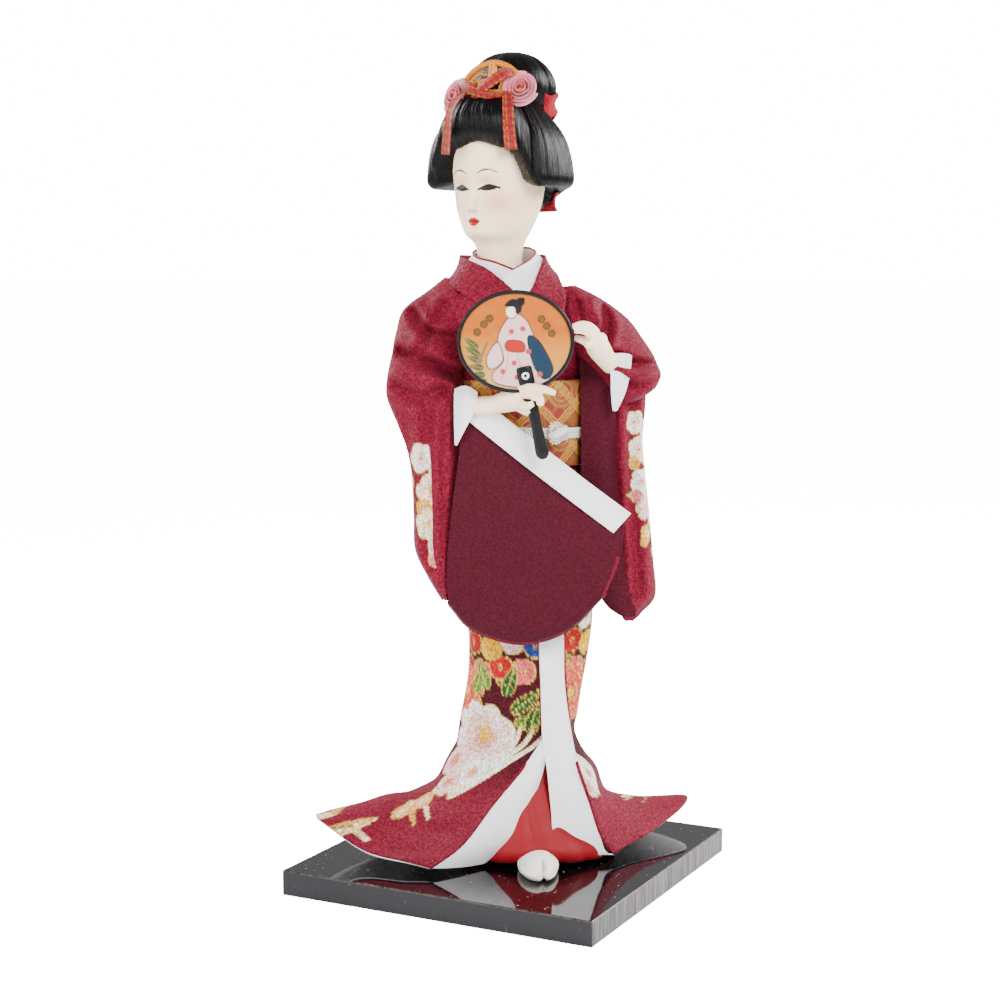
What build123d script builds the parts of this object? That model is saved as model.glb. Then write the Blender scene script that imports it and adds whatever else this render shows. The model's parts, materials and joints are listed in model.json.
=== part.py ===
from build123d import *
import os
from math import atan2, cos, degrees, pi, radians, sin

# ---------------------------------------------------------------- driving dimensions, mm
BOARD_SIDE = 125.0          # square display board
BOARD_THICKNESS = 9.4
BOARD_EDGE_BREAK = 0.3      # small chamfer on the lacquered edges
FIGURE_TURN = 27.0          # the dressed body is turned on the board, degrees about +Z
HEAD_X, HEAD_Y = -3.6, -1.3  # neck axis on the board's axes
LIFT_GAP = 0.35             # everything of the figure stays this far above the board
GAP = 0.30                  # between two pieces laid over one another
RUN_FIT = 0.05              # radial play of a peg in its hole
CLOTH = 1.0                 # outer crepe
LINING = 0.6                # satin lining
FIGURE_HEIGHT = 308.0       # board underside to the top of the bun

ROD_RADIUS = 1.5            # steel support rod
ROD_DEPTH = 7.4             # how far the rod goes down into the board
ROD_X, ROD_Y = 11.0, 9.0    # rod on the body's own axes
ROD_TOP = 70.0
NECK_PEG_RADIUS = 3.0
NECK_PEG_LOW, NECK_PEG_HIGH = 206.0, 234.0
NECK_RADIUS = 8.0
ARM_WIRE_RADIUS = 0.6

COLLAR_CLOTH = 1.4
TRIM = 0.5                  # thin red edge showing at the throat
OBI_LOW, OBI_HIGH = 157.0, 189.0
CORD_Z, CORD_WIDTH, CORD_THICKNESS = 170.0, 4.0, 1.2
KNOT_X, KNOT_RADIUS = 17.0, 4.2
PANEL_SWING = 6.5           # degrees
PANEL_THICKNESS = 2.0
BAND_THICKNESS = 0.8
SIDE_PART, PART_GAP = 13.0, 0.3
COMB_HALF, COMB_HEIGHT, COMB_THICKNESS = 10.5, 10.5, 1.4
RIBBON, TAIL_WIDTH = 0.6, 3.6
BAND_CLOTH = 1.8

FAN_Y = -36.0               # plane of the fan on the body's axes
FAN_LEAN = 9.2              # handle leans, lower end to the doll's left
FAN_X, FAN_Z = 1.5, 203.5   # middle of the leaf
FAN_RX, FAN_RZ = 20.6, 18.0
FAN_LEAF = 1.0              # thickness of the leaf
FAN_RIM_WIDTH = 1.3
FAN_RIM_THICKNESS = 2.2
HANDLE_END_X, HANDLE_END_Z = 10.8, 165.6
HANDLE_HALF_WIDTH = 3.0
HANDLE_WAIST = 2.4
HANDLE_THICKNESS = 2.8
HANDLE_LENGTH = 24.5        # end circle to the root of the tang
TANG_LENGTH = 6.5
TANG_HALF_WIDTH = 3.5
TANG_THICKNESS = 3.4
RIVET_RADIUS = 1.2
HAND_GAP = 0.35             # between the fan and the fingers

# The neck axis on the body's own axes.
NECK_X = HEAD_X * cos(radians(FIGURE_TURN)) + HEAD_Y * sin(radians(FIGURE_TURN))
NECK_Y = HEAD_Y * cos(radians(FIGURE_TURN)) - HEAD_X * sin(radians(FIGURE_TURN))

# Profiles are rows of height, middle x, middle y, half width, half depth.
BODICE = [
    (158.0, 2.5, 0, 25.0, 16.0),
    (189.0, 2.0, 0, 25.5, 16.5),
    (205.0, 0.0, 0, 28.0, 16.5),
    (217.0, -2.0, 0, 27.0, 15.5),
    (222.0, -3.5, 0.5, 23.5, 14.5),
]
COLLAR = [
    (222.4, -4.0, 1.5, 22.5, 15.5),
    (228.0, -4.2, 2.0, 18.5, 15.0),
    (235.0, -4.0, 2.5, 16.0, 14.6),
]
SKIRT = [
    (156.6, 2.5, 0, 24.8, 15.8),
    (130.0, 3.0, 0, 25.5, 16.5),
    (105.0, 6.0, 0, 24.0, 16.5),
    (90.0, 8.0, 0, 21.5, 16.5),
    (67.0, 4.0, 0, 21.3, 17.0),
    (50.0, 2.0, 0, 22.0, 18.5),
]
SKIRT_SPLIT_X = 12.0        # where the two front edges meet
# Folded-out skirt below the split, front right edge round the back to the front left edge.
SKIRT_ANKLE = [
    (24, -20, 31), (32, -9, 30), (34, 7, 29), (27, 19, 28), (14, 25, 28), (0, 26, 28),
    (-13, 23, 28), (-23, 14, 29), (-27, 0, 31), (-21, -15, 31), (-8, -26, 30),
]
SKIRT_SWEEP = [
    (32, -18.5, 20), (45, 0, 21), (54, 24, 21), (42, 34, 20), (23, 38, 18.5), (2, 38, 18),
    (-19, 33, 18.5), (-37, 20, 21), (-52, -3, 24), (-38, -18, 21.5), (-19, -30.5, 20),
]
SKIRT_HEM = [
    (38.5, -17.1, 13), (57, 6, 15.5), (70, 35.5, 18.5), (53, 44, 16), (30, 46, 13.5), (4, 46, 13),
    (-24, 40, 13.5), (-49, 23, 16.5), (-73.3, -5.4, 21), (-54, -21, 16), (-29.5, -34, 13),
]
UNDER_ROBE = [
    (118.0, 4.5, 0, 22.0, 14.4),
    (105.0, 6.0, 0, 21.6, 14.2),
    (90.0, 8.0, 0, 19.0, 14.2),
    (67.0, 4.0, 0, 18.8, 14.6),
    (50.0, 2.5, -0.5, 19.0, 15.6),
    (30.0, 6.0, -1.0, 19.5, 20.0),
    (10.6, 9.0, -1.5, 29.0, 26.5),
]
HAIR = [
    (259.5, 0, 1.5, 28.3, 19.5),
    (263.0, 0, 2.0, 28.5, 21.0),
    (270.0, 0, 2.0, 27.0, 21.5),
    (279.0, 0, 2.0, 23.5, 20.5),
    (286.0, 0, 2.5, 17.5, 16.5),
    (291.0, 0, 3.0, 8.5, 9.0),
]
NAPE_HAIR = [
    (243.5, 0, 11.0, 8.5, 6.0),
    (250.0, 0, 9.5, 13.0, 9.5),
    (262.0, 0, 8.0, 14.5, 12.5),
]
BUN = [
    (283.0, 0, 14.0, 8.5, 6.5),
    (287.0, 0, 12.0, 13.5, 10.0),
    (292.0, 0, 9.0, 16.8, 13.0),
    (298.0, 0, 8.5, 16.2, 13.5),
    (304.0, 0, 8.5, 11.5, 10.0),
    (FIGURE_HEIGHT, 0, 8.5, 4.0, 4.0),
]
SKULL = [
    (240.5, 0, -10.5, 5.0, 4.5),
    (243.5, 0, -7.5, 9.0, 9.5),
    (249.0, 0, -4.5, 12.8, 14.0),
    (256.0, 0, -2.5, 15.2, 17.0),
    (263.0, 0, -1.5, 15.8, 18.2),
    (271.0, 0, -0.5, 15.2, 18.2),
    (278.0, 0, 0, 12.0, 15.5),
    (283.0, 0, 1.0, 6.5, 8.5),
]
NECK = [
    (221.0, 0, 0, NECK_RADIUS, NECK_RADIUS),
    (230.0, 0, -0.5, NECK_RADIUS - 0.4, NECK_RADIUS - 0.2),
    (238.0, 0, -1.5, NECK_RADIUS, NECK_RADIUS + 0.8),
    (247.0, 0, -1.0, NECK_RADIUS + 1.0, NECK_RADIUS + 2.0),
]
# Limbs are rows of x, y, z, radius. Each end runs on by a share of its radius and narrows.
END_REACH, END_SHARE = 0.6, 0.7
RIGHT_ARM = [
    (-37, -4, 192, 4.6), (-16, -20, 186, 3.4), (-4, -28, 182.6, 3.2), (7.2, -36, 183.8, 5.2),
]
RIGHT_FINGER = [(9.5, -36, 186, 2.4), (15.2, -36.6, 187.0, 1.3)]
LEFT_ARM = [(49, -4, 189, 4.4), (36, -20, 194.5, 3.1), (30, -28, 202.0, 3.6)]
LEFT_FINGER = [(29.5, -30, 203.5, 2.2), (26, -38.0, 206.5, 1.7), (21.8, -39.0, 207.6, 1.3)]
LEFT_THUMB = [(29.5, -29, 201.0, 2.0), (22.6, -33.0, 203.2, 1.3)]
RIGHT_UPPER_ARM = [(-25.5, 0, 207, 5.0), (-37, -2, 197.5, 4.6)]
LEFT_UPPER_ARM = [(25.5, 0, 207, 5.0), (46, -2, 196.5, 4.4)]
RIGHT_LEG = [(20.4, 10, -15.5, 4.2, 4.2), (40, 8, -10.5, 5.0, 5.0), (75, 3, -6.0, 6.0, 6.0),
             (117.4, -3.5, -2.5, 6.6, 6.6)]
LEFT_LEG = [(20.4, 11, 9, 4.2, 4.2), (40, 11, 8.0, 4.8, 4.8), (75, 11, 6.5, 5.4, 5.4),
            (117.4, 11, 3.0, 6.4, 6.4)]


def oval(x, y, z, rx, ry):
    """Closed smooth outline lying flat at height z."""
    around = [2 * pi * k / 12 for k in range(12)]
    edge = Spline(*[(x + rx * cos(a), y + ry * sin(a), z) for a in around], periodic=True)
    return Wire([edge])


def column(profile, grow=0.0, reach=0.0):
    """Stack of ovals; grow widens it and reach lengthens both ends."""
    rows = [(z, x, y, rx + grow, ry + grow) for z, x, y, rx, ry in sorted(profile)]
    if reach:
        rows = [(rows[0][0] - reach,) + rows[0][1:]] + rows + [(rows[-1][0] + reach,) + rows[-1][1:]]
    return Solid.make_loft([oval(x, y, z, rx, ry) for z, x, y, rx, ry in rows], True)


def sleeve_of(profile, wall, inset=0.0):
    """Open-ended wrap of one thickness following a profile."""
    return column(profile, -inset) - column(profile, -inset - wall, reach=2.0)


def limb(rows, grow=0.0):
    """Tapering round rod through the given points, narrowed at its two ends."""
    points = [Vector(x, y, z) for x, y, z, _ in rows]
    radii = [r + grow for _, _, _, r in rows]
    first = (points[1] - points[0]).normalized()
    last = (points[-1] - points[-2]).normalized()
    stops = [(points[0] - first * radii[0] * END_REACH, first, radii[0] * END_SHARE)]
    for k, point in enumerate(points):
        before = first if k == 0 else (point - points[k - 1]).normalized()
        after = last if k == len(points) - 1 else (points[k + 1] - point).normalized()
        stops.append((point, (before + after).normalized(), radii[k]))
    stops.append((points[-1] + last * radii[-1] * END_REACH, last, radii[-1] * END_SHARE))
    rings = []
    for centre, along, radius in stops:
        across = along.cross(Vector(0, 0, 1)).normalized()
        rings.append(Wire.make_circle(radius, Plane(origin=centre, x_dir=across, z_dir=along)))
    return Solid.make_loft(rings, True)


def slab(outline, back, front):
    """Flat piece cut to an outline seen from the front, between two depths."""
    face = Plane.XZ * make_face(Polyline(*outline, close=True))
    return Pos(0, back, 0) * extrude(face, back - front)


def tidy(shape):
    """The largest solid of a cut, so that crumbs never stay with a piece."""
    return max(shape.solids(), key=lambda solid: solid.volume)


def rod(x, y, low, high, radius):
    return Pos(x, y, low) * extrude(Circle(radius), high - low)


# ---------------------------------------------------------------- board
def base_board():
    board = Pos(0, 0, BOARD_THICKNESS / 2) * Box(BOARD_SIDE, BOARD_SIDE, BOARD_THICKNESS)
    board = chamfer(board.edges(), BOARD_EDGE_BREAK)
    hole = rod(ROD_X, ROD_Y, BOARD_THICKNESS - ROD_DEPTH - 0.6, BOARD_THICKNESS + 1,
               ROD_RADIUS + RUN_FIT)
    return board - Rot(0, 0, FIGURE_TURN) * hole


def support_rod():
    return rod(ROD_X, ROD_Y, BOARD_THICKNESS - ROD_DEPTH, ROD_TOP, ROD_RADIUS)


# ---------------------------------------------------------------- legs and filling
def foot(x, y, length):
    """Split-toed sock with the toes to the front."""
    low = BOARD_THICKNESS + LIFT_GAP
    rows = [
        (low, x, y, 6.2, length / 2 - 0.6),
        (low + 3.0, x, y, 6.9, length / 2),
        (low + 7.0, x, y + 2.0, 5.6, length / 2 - 3.0),
        (20.0, x, y + 8.0, 4.4, length / 2 - 9.0),
    ]
    return column(rows)


def right_foot(grow=0.0):
    rows = foot(10, -26.6, 33.0)
    if not grow:
        return rows
    low = BOARD_THICKNESS - 1
    return column([(low, 10, -26.6, 6.9 + grow, 16.5 + grow), (16.6, 10, -26.0, 6.7 + grow, 16 + grow),
                   (20.5, 10, -21.0, 5.4 + grow, 11.5 + grow)])


def left_foot():
    return foot(11, 5.4, 27.0) - rod(ROD_X, ROD_Y, 0, ROD_TOP, ROD_RADIUS + RUN_FIT)


def left_leg():
    return column(LEFT_LEG) - rod(ROD_X, ROD_Y, 0, ROD_TOP + RUN_FIT, ROD_RADIUS + RUN_FIT)


def skirt_stuffing():
    rows = [row for row in UNDER_ROBE if row[0] < 117.5 and row[0] > 20] + [(117.4, 4.5, 0, 22.0, 14.4)]
    rows = rows + [(21.0, 8.0, -1.2, 22.0, 21.0)]
    body = column(rows, -LINING - GAP)
    return body - column(RIGHT_LEG, GAP, 2) - column(LEFT_LEG, GAP, 2)


def under_robe():
    return tidy(sleeve_of(UNDER_ROBE, LINING) - right_foot(GAP))


# ---------------------------------------------------------------- skirt
def skirt_ring(row):
    """Points round a closed level of the skirt, starting and ending at the front edges."""
    z, x, y, rx, ry = row
    count = len(SKIRT_HEM)
    first = atan2(-1.0, (SKIRT_SPLIT_X - x) / rx) + 0.03
    sweep = 2 * pi - 0.06
    angles = [first + sweep * k / (count - 1) for k in range(count)]
    return [Vector(x + rx * cos(a), y + ry * sin(a), z) for a in angles]


def skirt_face():
    rows = [skirt_ring(row) for row in SKIRT]
    rows += [[Vector(*p) for p in level] for level in (SKIRT_ANKLE, SKIRT_SWEEP, SKIRT_HEM)]
    return Face.make_surface_from_array_of_points(rows, tol=0.4, min_deg=2, max_deg=3)


def torso_core():
    waist = [(118.0, 4.5, 0, 20.5, 13.4), (157.0, 2.5, 0, 23.5, 14.6)]
    core = column(waist + [r for r in BODICE if 160 < r[0] < 218], -CLOTH - GAP - 0.6)
    core = core + column([(216.5, -2.5, 0.3, 23, 13), (220.0, -3.4, 0.4, 18, 12)], -1.0)
    core = core - wire(RIGHT_WIRE, RUN_FIT) - wire(LEFT_WIRE, RUN_FIT)
    return core - rod(NECK_X, NECK_Y, NECK_PEG_LOW - 0.5, 230, NECK_PEG_RADIUS + RUN_FIT)


# ---------------------------------------------------------------- bodice, collars and obi
def neckline():
    """Wedge cut away at the throat, where the two collar edges cross."""
    wedge = [(-34, 240), (1.0, 229.0), (26.5, 240)]
    return slab(wedge, -2.0, -30.0)


def kimono_bodice():
    return tidy(sleeve_of(BODICE, CLOTH) - wire(RIGHT_WIRE, GAP) - wire(LEFT_WIRE, GAP))


def kimono_collar():
    return tidy(sleeve_of(COLLAR, COLLAR_CLOTH) - neckline())


def under_collar():
    return tidy(sleeve_of(COLLAR, COLLAR_CLOTH, COLLAR_CLOTH + GAP) - neckline())


def collar_trim():
    deep = 2 * (COLLAR_CLOTH + GAP)
    return tidy(sleeve_of(COLLAR, TRIM, deep) - neckline() - rod(NECK_X, NECK_Y, 215, 226.0, 40))


def obi_rows(grow=0.0):
    return [(OBI_LOW, 2.5, 0, 28.0 + grow, 18.6 + grow), (OBI_HIGH, 2.3, 0, 28.2 + grow, 18.8 + grow)]


def obi():
    inner = column([(OBI_LOW - 1, 2.5, 0, 25.6, 16.5), (OBI_HIGH + 1, 2.1, 0, 26.0, 17.0)], GAP)
    return column(obi_rows()) - inner


def cord_ring(grow=0.0):
    low, high = CORD_Z - CORD_WIDTH / 2 - grow, CORD_Z + CORD_WIDTH / 2 + grow
    outside = [(low, 2.5, 0, 28.0 + CORD_THICKNESS + 0.4 + grow, 18.7 + CORD_THICKNESS + 0.4 + grow),
               (high, 2.4, 0, 28.1 + CORD_THICKNESS + 0.4 + grow, 18.8 + CORD_THICKNESS + 0.4 + grow)]
    return column(outside)


def obi_cord():
    return cord_ring() - column(obi_rows(0.4), 0, 5)


def obi_cord_knot():
    ball = Pos(KNOT_X, -19.6, CORD_Z) * Sphere(KNOT_RADIUS)
    return tidy(ball - cord_ring(GAP) - column(obi_rows(GAP), 0, 5))


def obi_bow():
    """Drum-shaped bow at the back of the sash, with the cord passing through it."""
    drum = Pos(2.5, 26.5, 174) * Box(35, 15, 44)
    drum = fillet(drum.edges(), 4.0)
    return tidy(drum - cord_ring(GAP) - column(obi_rows(GAP), 0, 12))


# ---------------------------------------------------------------- arms and sleeves
def fan_path():
    """Room the fan needs in the fingers, at rest and on its way out along the handle."""
    leaf = Pos(FAN_X, FAN_Y, FAN_Z - HAND_GAP) * Box(
        2 * FAN_RX, FAN_RIM_THICKNESS + 2 * HAND_GAP, 2 * FAN_RZ)
    stem = on_handle(Pos(0, 0, 30) * Box(
        2 * (HANDLE_HALF_WIDTH + HAND_GAP), HANDLE_THICKNESS + 2 * HAND_GAP, 100))
    return leaf + stem


def on_handle(shape):
    """Places a shape drawn with its origin at the handle's end circle and +Z up the handle."""
    return Pos(HANDLE_END_X, FAN_Y, HANDLE_END_Z) * Rot(0, -FAN_LEAN, 0) * shape


def wire(rows, grow=0.0):
    line = [(x, y, z, ARM_WIRE_RADIUS) for x, y, z, _ in rows]
    return limb(line, grow)


RIGHT_WIRE = [(-19, 0, 209.5, 1)] + RIGHT_UPPER_ARM + RIGHT_ARM[:2]
LEFT_WIRE = [(19, 0, 209.5, 1)] + LEFT_UPPER_ARM + LEFT_ARM[:2]


def right_arm(grow=0.0):
    arm = limb(RIGHT_ARM, grow) + limb(RIGHT_FINGER, grow)
    return arm if grow else tidy(arm - fan_path() - wire(RIGHT_WIRE, RUN_FIT) - limb(RIGHT_UPPER_ARM, GAP))


def left_arm(grow=0.0):
    arm = limb(LEFT_ARM, grow) + limb(LEFT_FINGER, grow) + limb(LEFT_THUMB, grow)
    return arm if grow else tidy(arm - wire(LEFT_WIRE, RUN_FIT) - limb(LEFT_UPPER_ARM, GAP))


def right_upper_arm():
    return tidy(limb(RIGHT_UPPER_ARM) - wire(RIGHT_WIRE, RUN_FIT) - column(BODICE, GAP))


def left_upper_arm():
    return tidy(limb(LEFT_UPPER_ARM) - wire(LEFT_WIRE, RUN_FIT) - column(BODICE, GAP))


def clear_of_body(shape):
    shape = shape - column(BODICE, GAP, 1) - column(obi_rows(CORD_THICKNESS + 0.8), 0, 1)
    return shape - column(COLLAR, GAP, 1) - column(SKIRT, CLOTH + GAP)


def clear_of_arms(shape):
    shape = shape - right_arm(GAP) - left_arm(GAP)
    shape = shape - limb(RIGHT_UPPER_ARM, GAP) - limb(LEFT_UPPER_ARM, GAP)
    return shape - wire(RIGHT_WIRE, GAP) - wire(LEFT_WIRE, GAP)


def right_sleeve():
    """Crepe sleeve: the shoulder part and the hanging bag at the doll's right side."""
    upper = slab([(-21, 226), (-29.8, 221.2), (-40.2, 213.1), (-45, 195.8), (-44, 183), (-17, 184),
                  (-16.4, 191), (-24, 200), (-24, 214)], 8.0, -17.0)
    bag = slab([(-45, 195), (-42.6, 173.8), (-40, 150), (-35.5, 127.4), (-31, 113), (-23.5, 108.8),
                (-20.3, 140), (-18.6, 167.6), (-17, 188)], -8.5, -21.5)
    return tidy(clear_of_arms(clear_of_body(upper + bag)))


def panel_frame(shape):
    """The right sleeve's open side swings a little forward towards the doll's left."""
    return Pos(-20, -22.2, 0) * Rot(0, 0, -PANEL_SWING) * Pos(20, 0, 0) * shape


def right_sleeve_lining():
    outline = [(-17.5, 185), (42, 140.5), (41.2, 130.5), (37, 119), (32, 110.5), (22, 98.5),
               (10.5, 93.7), (-2, 95), (-14.9, 100.5), (-22, 109.5), (-19.5, 140), (-18, 168)]
    return tidy(clear_of_arms(panel_frame(slab(outline, 0, -PANEL_THICKNESS))))


def band_outline(grow=0.0):
    return [(-20, 190.5 + grow), (42.6, 142.4 + grow), (36.3, 134.9 - grow), (-24, 180 - grow)]


def right_sleeve_band():
    front = -PANEL_THICKNESS - 0.2
    return tidy(clear_of_arms(panel_frame(slab(band_outline(), front, front - BAND_THICKNESS))))


def right_undersleeve():
    cuff = [(-17, 190), (-12.5, 189.5), (-8, 181), (-13, 173), (-16, 161), (-19, 166)]
    back = -PANEL_THICKNESS - BAND_THICKNESS - 1.0
    return tidy(clear_of_arms(panel_frame(slab(cuff, back, back - 1.2))))


def left_sleeve():
    """Crepe sleeve: the shoulder part and the hanging bag at the doll's left side."""
    upper = slab([(18, 225), (20.7, 221.3), (36.6, 217.5), (47.8, 206.5), (55.6, 190.1), (53, 183),
                  (32, 183), (29, 195), (24, 214)], 8.0, -14.0)
    bag = slab([(54.5, 188), (47.7, 166.1), (50, 150), (51.7, 136.3), (53.8, 106.3), (43.6, 98.5),
                (38, 104), (33.4, 111.2), (32.6, 150), (32.3, 188)], 6.0, -8.5)
    return tidy(clear_of_arms(clear_of_body(upper + bag)))


def left_sleeve_lining():
    strip = [(31.8, 181.6), (37.5, 181.6), (39, 165), (38.5, 140), (47, 104), (43.6, 98.8),
             (33.4, 111.2), (32.6, 150)]
    return tidy(clear_of_arms(slab(strip, -8.8, -11.8)))


def left_undersleeve():
    cuff = [(32.5, 199), (40, 200), (39, 186), (35.5, 174), (34, 185)]
    return tidy(clear_of_arms(slab(cuff, -16.5, -18.5)))


# ---------------------------------------------------------------- fan
def handle_outline(grow=0.0):
    half, waist, length = HANDLE_HALF_WIDTH + grow, HANDLE_WAIST + grow, HANDLE_LENGTH
    side = Spline((half, 0), (waist, 0.42 * length), (half, length))
    return make_face([
        side,
        Line((half, length), (-half, length)),
        Spline((-half, length), (-waist, 0.42 * length), (-half, 0)),
        ThreePointArc((-half, 0), (0, -half), (half, 0)),
    ])


def leaf_blank(grow, half_thickness):
    outline = Ellipse(FAN_RX + grow, FAN_RZ + grow)
    return Pos(FAN_X, FAN_Y, FAN_Z) * Rot(90, 0, 0) * extrude(outline, half_thickness, both=True)


def rivet_bore(radius, half_length):
    return on_handle(Pos(0, 0, HANDLE_LENGTH + TANG_LENGTH / 2) * Rot(90, 0, 0)
                     * extrude(Circle(radius), half_length, both=True))


def handle_blank(grow=0.0):
    stem = Rot(90, 0, 0) * extrude(handle_outline(grow), HANDLE_THICKNESS / 2 + grow, both=True)
    tang = Pos(0, 0, HANDLE_LENGTH + TANG_LENGTH / 2) * Box(
        2 * (TANG_HALF_WIDTH + grow), TANG_THICKNESS + 2 * grow, TANG_LENGTH + 2 * grow)
    return on_handle(stem + tang)


def fan_handle():
    slot = leaf_blank(0.2, FAN_LEAF / 2 + 0.1)
    return tidy(handle_blank() - slot - rivet_bore(RIVET_RADIUS + RUN_FIT, 4))


def fan_leaf():
    return leaf_blank(-FAN_RIM_WIDTH, FAN_LEAF / 2) - rivet_bore(RIVET_RADIUS + RUN_FIT, 4)


def fan_rim():
    ring = leaf_blank(0, FAN_RIM_THICKNESS / 2) - leaf_blank(0.05 - FAN_RIM_WIDTH, 4)
    return tidy(ring - handle_blank(0.15))


def fan_rivet():
    return rivet_bore(RIVET_RADIUS, TANG_THICKNESS / 2 + 0.3)


# ---------------------------------------------------------------- head, on its own axes
def neck_peg():
    return rod(0, 0, NECK_PEG_LOW, NECK_PEG_HIGH, NECK_PEG_RADIUS)


def skull(grow=0.0):
    return column(SKULL, grow) + column(NECK, grow, grow)


def head_shell():
    nose = limb([(0, -17.6, 255, 1.2), (0, -19.4, 250.6, 1.7)])
    head = skull() + nose
    for side in (-1, 1):
        head = head + limb([(side * 14.2, 1.5, 250, 1.6), (side * 15.2, 2.5, 255.5, 2.2)])
    return head - rod(0, 0, 200, NECK_PEG_HIGH + 0.4, NECK_PEG_RADIUS + RUN_FIT)


def hair_blank():
    ear_room = [limb([(s * 14.2, 1.5, 250, 2.0), (s * 15.2, 2.5, 255.5, 2.6)]) for s in (-1, 1)]
    opening = slab([(-14.2, 250), (14.2, 250), (14.2, 266), (9.5, 273), (4, 275.5), (-4, 275.5),
                    (-9.5, 273), (-14.2, 266)], -5.0, -40.0)
    return column(HAIR) - skull(GAP) - opening - ear_room[0] - ear_room[1]


def hair_piece(low, high, front, back):
    """One combed section of the wig, between two side planes and two depths."""
    room = Pos((low + high) / 2, (front + back) / 2, 270) * Box(high - low, back - front, 60)
    return tidy(hair_blank() & room)


def front_hair():
    return hair_piece(-SIDE_PART, SIDE_PART, -40, 0)


def left_side_hair():
    return hair_piece(SIDE_PART + PART_GAP, 40, -40, 40)


def right_side_hair():
    return hair_piece(-40, -SIDE_PART - PART_GAP, -40, 40)


def back_hair():
    nape = column(NAPE_HAIR) - skull(GAP)
    nape = nape & (Pos(0, 20, 252) * Box(2 * SIDE_PART, 30, 30))
    return tidy(hair_piece(-SIDE_PART, SIDE_PART, PART_GAP, 40) + nape)


def bun():
    return tidy(column(BUN) - column(HAIR, GAP, GAP))


def comb():
    arch = make_face([Line((-COMB_HALF, 0), (COMB_HALF, 0)),
                      ThreePointArc((COMB_HALF, 0), (0, COMB_HEIGHT), (-COMB_HALF, 0))])
    window = Pos(0, 4.2) * RectangleRounded(9, 2.6, 1.2)
    lights = [Pos(x, 8.0) * Circle(1.1) for x in (-4.2, 4.2)]
    plate = extrude(arch - window - lights[0] - lights[1], COMB_THICKNESS)
    plate = Pos(0.5, -5.2, 293.0) * Rot(80, 0, 0) * plate
    return tidy(plate - column(BUN, GAP) - column(HAIR, GAP, GAP))


def flower(side):
    """Ribbon rose: a flat ball beside the comb."""
    rose = column([(-3.4, 0, 0, 3.8, 3.8), (-1.8, 0, 0, 6.0, 6.0), (0.6, 0, 0, 6.4, 6.4),
                   (2.4, 0, 0, 4.6, 4.6)])
    rose = Pos(side * 12.8, -9.6, 291.6) * Rot(78, 0, side * 32) * rose
    return tidy(rose - column(BUN, GAP) - column(HAIR, GAP, GAP) - comb_room())


def comb_room():
    return Pos(0.5, -6.4, 298) * Box(2 * COMB_HALF + 0.6, 6.0, 16)


def ribbon_bow():
    """Crossed ribbon in front of the comb: two loops and a knot in one flat piece."""
    outline = [(-7.0, 297.4), (-3.2, 296.0), (0, 293.6), (3.2, 295.4), (6.4, 296.4), (6.6, 293.2),
               (3.0, 291.0), (0, 290.0), (-3.0, 291.4), (-7.2, 293.2)]
    return tidy(slab(outline, -10.2, -12.6) - flower_room(-1) - flower_room(1))


def flower_room(side):
    return Pos(side * 12.8, -9.6, 291.6) * Rot(78, 0, side * 32) * column(
        [(-4.2, 0, 0, 6.9, 6.9), (3.2, 0, 0, 6.9, 6.9)])


def ribbon_tail(side):
    """Flat ribbon end hanging down over the front roll."""
    path = [(-14.4, 285.2), (-17.2, 282), (-19.0, 277), (-20.2, 270)]
    outer = [(y - RIBBON, z) for y, z in path]
    face = Plane.YZ * make_face(Polyline(*(path + outer[::-1]), close=True))
    strip = extrude(face, TAIL_WIDTH / 2, both=True)
    strip = Pos(side * 8.6, 0.9, 0) * strip
    return tidy(strip - column(HAIR, 0.25) - flower_room(side))


def bun_cloth():
    """Cloth wrapped round the root of the bun, at its back."""
    rows = [(285.5, 0, 12.5, 15.6, 12.0), (292.5, 0, 10.0, 19.6, 15.6)]
    ring = column(rows) - column(BUN, GAP, GAP)
    return tidy((ring & (Pos(0, 27, 289) * Box(60, 30, 20))) - column(HAIR, GAP, GAP))


def nape_ribbon():
    """Cloth band round the back of the nape hair, under the side wings."""
    rows = [(249.5, 0, 10.0, 15.6, 12.3), (257.0, 0, 9.5, 17.0, 14.4)]
    ring = column(rows) - column(rows, -BAND_CLOTH, 2)
    return tidy(ring & (Pos(0, 25, 253) * Box(60, 28, 20)))


# ---------------------------------------------------------------- build
def figure_pieces():
    cloth = skirt_face()
    skirt = Solid.thicken(cloth, CLOTH)
    lining = Solid.thicken(cloth, -LINING)
    robe = under_robe()
    return {
        "support_rod": support_rod(),
        "right_foot": right_foot(),
        "left_foot": left_foot(),
        "right_leg": column(RIGHT_LEG),
        "left_leg": left_leg(),
        "skirt_stuffing": skirt_stuffing(),
        "torso_core": torso_core(),
        "under_robe": tidy(robe - lining),
        "skirt_lining": lining,
        "kimono_skirt": skirt,
        "kimono_bodice": kimono_bodice(),
        "kimono_collar": kimono_collar(),
        "under_collar": under_collar(),
        "collar_trim": collar_trim(),
        "obi": obi(),
        "obi_bow": obi_bow(),
        "obi_cord": obi_cord(),
        "obi_cord_knot": obi_cord_knot(),
        "right_arm_wire": wire(RIGHT_WIRE),
        "left_arm_wire": wire(LEFT_WIRE),
        "right_upper_arm": right_upper_arm(),
        "left_upper_arm": left_upper_arm(),
        "right_forearm": right_arm(),
        "left_forearm": left_arm(),
        "right_sleeve": right_sleeve(),
        "right_sleeve_lining": right_sleeve_lining(),
        "right_sleeve_band": right_sleeve_band(),
        "right_undersleeve": right_undersleeve(),
        "left_sleeve": left_sleeve(),
        "left_sleeve_lining": left_sleeve_lining(),
        "left_undersleeve": left_undersleeve(),
        "fan_leaf": fan_leaf(),
        "fan_rim": fan_rim(),
        "fan_handle": fan_handle(),
        "fan_rivet": fan_rivet(),
    }


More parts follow.
